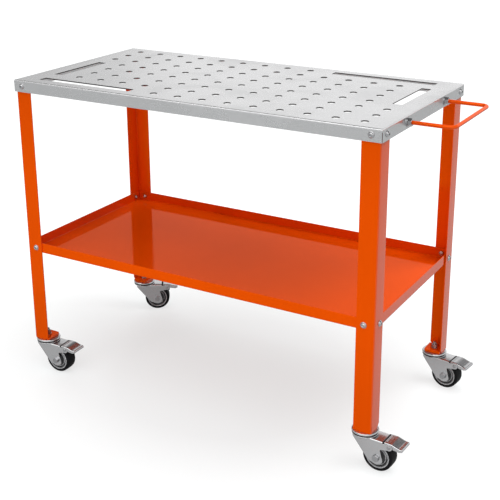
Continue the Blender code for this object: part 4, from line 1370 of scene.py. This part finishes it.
class WELDINGTABLE_OT_wheels(TableOperator, bpy.types.Operator):
    """Tyres and hubs"""

    bl_idname = "welding_table.wheels"
    bl_label = "Wheels"

    def make(self, table):
        caster = table.caster
        pieces = [
            ("rubber_tyre", [self.tyre(caster)], "tyre rubber", "tyre_rubber", "tyre"),
            ("moulded_hub", [self.hub(caster)], "grey hub", "grey_hub", "wheel_hub"),
            ("hub_rim", self.rings(caster), "hub rim", "grey_hub"),
        ]
        for corner, stem, _ in casters():
            axle = lying_across(stem, caster.trail, caster.wheel)
            for name, shapes, *look in pieces:
                shapes = [placed(shape, axle) for shape in shapes]
                corner_piece(name, corner, shapes, f"wheel_{corner}", *look)

    def tyre(self, caster):
        """Rounded rectangle carried round the axle, with a slight crown on its tread."""
        half, bead, tread = caster.tyre / 2, caster.wheel - caster.tyre_depth, caster.wheel
        shoulder, crown = 0.0026, 0.0004
        ring = [(bead, 0), (bead, half - shoulder), (bead + shoulder, half), (tread - shoulder, half)]
        ring += [(tread - crown, half - shoulder), (tread, 0)]
        ring += [(r, -w) for r, w in reversed(ring[:-1])]
        return turned(rounded(ring, radius=0.0022, steps=6), sides=96)

    def rings(self, caster):
        """On each side, a rounded ring just inside the tyre, and a thinner, lower one halfway to the boss,
        paler than the hub as a painted highlight.
        """
        bead, face = caster.wheel - caster.tyre_depth + 0.0004, caster.tyre / 2
        raised = bead, 0.0024, face - 0.0046, face - 0.0006
        thin = 0.0194, 0.0013, caster.web / 2, face - 0.0032
        shapes = []
        for side in (-1, 1):
            for outer, width, low, high in (raised, thin):
                inner = outer - width
                ring = [(outer, low), (outer, high), (inner, high), (inner, low), (outer, low)]
                shapes.append(turned(rounded(ring, radius=0.35 * width, steps=5) * (1, side), sides=96))
        return shapes

    def hub(self, caster):
        """Boss on the bush, a thin web and a raised ring inside each side of the tyre."""
        rim = caster.wheel - caster.tyre_depth - CLEARANCE
        inset, boss_slope, ring_crest, ring_foot = 0.0026, 0.001, 0.003, 0.005
        ring, web = caster.tyre / 2 - inset, caster.web / 2
        boss = caster.fork / 2 - caster.fork_sheet - PLAY
        right = [(caster.bush, boss), (caster.boss, boss), (caster.boss + boss_slope, web)]
        right += [(rim - ring_foot, web), (rim - ring_crest, ring), (rim, ring)]
        left = [(radius, -width) for radius, width in reversed(right)]
        return turned(rounded(right + left + right[:1], radius=0.0007), sides=72)


class WELDINGTABLE_OT_pedals(TableOperator, bpy.types.Operator):
    """Brake pedals"""

    bl_idname = "welding_table.pedals"
    bl_label = "Brake pedals"

    def make(self, table):
        caster = table.caster
        for corner, stem, pin in casters():
            body = f"brake_{corner}"
            matrix = stem @ Matrix.Translation((pin[0], 0, pin[1]))
            start = caster.roof_end + caster.heel_gap - pin[0]
            tread = [placed(self.tread(caster, start), matrix)]
            sheet = corner_piece(
                "pressed_pedal", corner, tread, body, "zinc pressing", "zinc_pressing", "brake_pedal"
            )
            thicken(sheet, caster.pedal_sheet)
            round_edges(sheet, width=0.0005)
            under = [placed(shape, matrix) for shape in self.underside(caster, pin)]
            corner_piece("brake_block", corner, under, body, "tyre rubber", "tyre_rubber")

    def tread(self, caster, start):
        """Pressed pedal as one open sheet.

        Its profile is flat over the horns, falls in an S and turns down at the nose. It is carried across,
        and a quarter circle square to the profile turns each long edge down. Behind the horn's arc the edges
        carry flat cheeks. Ribs stand on the profile as bell curves, and fade out near the long edges.
        """
        half, bend = caster.pedal / 2, caster.pedal_bend
        heel, step, nose = 0.0096, 0.0042, 0.0300
        rows, columns = 110, 15
        knots = [(start, heel), (0.0050, heel), (0.0220, step), (0.0286, step)]
        knots += [(nose, 0.0024), (nose, -0.0016)]
        curve = rounded(knots, radius=[0.0060, 0.0040, 0.0016, 0.0014], steps=8)
        along = np.concatenate([[0], np.cumsum(np.linalg.norm(np.diff(curve, axis=0), axis=1))])
        s = np.linspace(0, along[-1], rows)
        path = np.column_stack([np.interp(s, along, curve[:, axis]) for axis in (0, 1)])
        ahead = np.gradient(path, axis=0)
        ahead /= np.linalg.norm(ahead, axis=1, keepdims=True)
        up = np.column_stack([-ahead[:, 1], ahead[:, 0]])
        across, fall = rolled_edges(half, bend, np.linspace(-1, 1, columns)[1:-1] * (half - bend))
        ribbed, fade = 0.88 * half, 0.0012
        inside = np.clip((ribbed - np.abs(across)) / fade, 0, 1)
        lift = inside[:, None] * self.ribs(caster, path[:, 0])[None] - fall[:, None]
        x, z = (path[:, axis] + lift * up[:, axis] for axis in (0, 1))
        tread = surface(np.stack([x, across[:, None] + 0 * x, z], -1))
        behind_horn, tail, low = 0.0062, (0.0040, 0.0016), -9
        edge = (path - bend * up)[path[:, 0] > behind_horn]
        corner = math.degrees(math.atan2(edge[0, 1], edge[0, 0]))
        clear = arc((0, 0), np.hypot(*edge[0]), low, corner, 10)
        cheek = np.concatenate([edge, [edge[-1] - tail], clear[:-1]])
        return together([tread] + [plate(standing(cheek, side)) for side in (-half, half)])

    def ribs(self, caster, x):
        """Height along X of two ribs across the heel and a groove before the nose, each a bell curve."""
        width = 0.0005
        places = [(-0.0085, caster.rib), (-0.0060, caster.rib), (0.0222, -caster.rib)]
        return sum(height * np.exp(-(((x - place) / width) ** 2)) for place, height in places)

    def underside(self, caster, pin):
        """Ears on the pin and the shoe over the tyre, each an outline carried across.

        They meet the tread at the crest, a height above the pin.
        """
        ear, ear_width, crest, shoe_gap = 0.0055, 0.002, 0.0090, 0.0034
        outline = np.concatenate([arc((0, 0), ear, 180, 360, 12), [(ear, crest), (-ear, crest)]])
        outer = caster.fork / 2 - caster.fork_sheet - PLAY
        inner = outer - ear_width
        ears = [side_prism(outline, *sorted((side * outer, side * inner))) for side in (-1, 1)]
        front, back, shoulder, half_shoe = 0.0035, 0.0075, 0.0075, 0.010
        reach = caster.wheel + shoe_gap
        low = caster.wheel + math.sqrt(reach**2 - (pin[0] + front - caster.trail) ** 2) - pin[1]
        block = [(ear, crest), (front, crest), (front, low), (back, low), (back, shoulder), (ear, crest)]
        return ears + [side_prism(rounded(block, radius=0.0006)[1:-1], -half_shoe, half_shoe)]


OPERATORS = (
    WELDINGTABLE_OT_stage,
    WELDINGTABLE_OT_table_top,
    WELDINGTABLE_OT_legs,
    WELDINGTABLE_OT_shelf,
    WELDINGTABLE_OT_handle,
    WELDINGTABLE_OT_bolts,
    WELDINGTABLE_OT_swivels,
    WELDINGTABLE_OT_forks,
    WELDINGTABLE_OT_wheels,
    WELDINGTABLE_OT_pedals,
)


class WELDINGTABLE_PT_sidebar(bpy.types.Panel):
    """Lists the pieces of the table"""

    bl_idname = "WELDINGTABLE_PT_sidebar"
    bl_label = "Welding table"
    bl_space_type = "VIEW_3D"
    bl_region_type = "UI"
    bl_category = "Welding table"

    def draw(self, context):
        for operator in OPERATORS:
            self.layout.operator(operator.bl_idname)


SETTINGS = (
    TopSizes,
    FrameSizes,
    HandleSizes,
    BoltSizes,
    CasterSizes,
    Finishes,
    StageSettings,
    WeldingTable,
)
CLASSES = SETTINGS + OPERATORS + (WELDINGTABLE_PT_sidebar,)


def register():
    for kind in CLASSES:
        bpy.utils.register_class(kind)
    bpy.types.Scene.welding_table = PointerProperty(type=WeldingTable)


def unregister():
    del bpy.types.Scene.welding_table
    for kind in reversed(CLASSES):
        bpy.utils.unregister_class(kind)


def main():
    register()
    bpy.ops.welding_table.stage()
    bpy.ops.welding_table.table_top()
    bpy.ops.welding_table.legs()
    bpy.ops.welding_table.shelf()
    bpy.ops.welding_table.handle()
    bpy.ops.welding_table.bolts()
    bpy.ops.welding_table.swivels()
    bpy.ops.welding_table.forks()
    bpy.ops.welding_table.wheels()
    bpy.ops.welding_table.pedals()


if __name__ == "__main__":
    main()
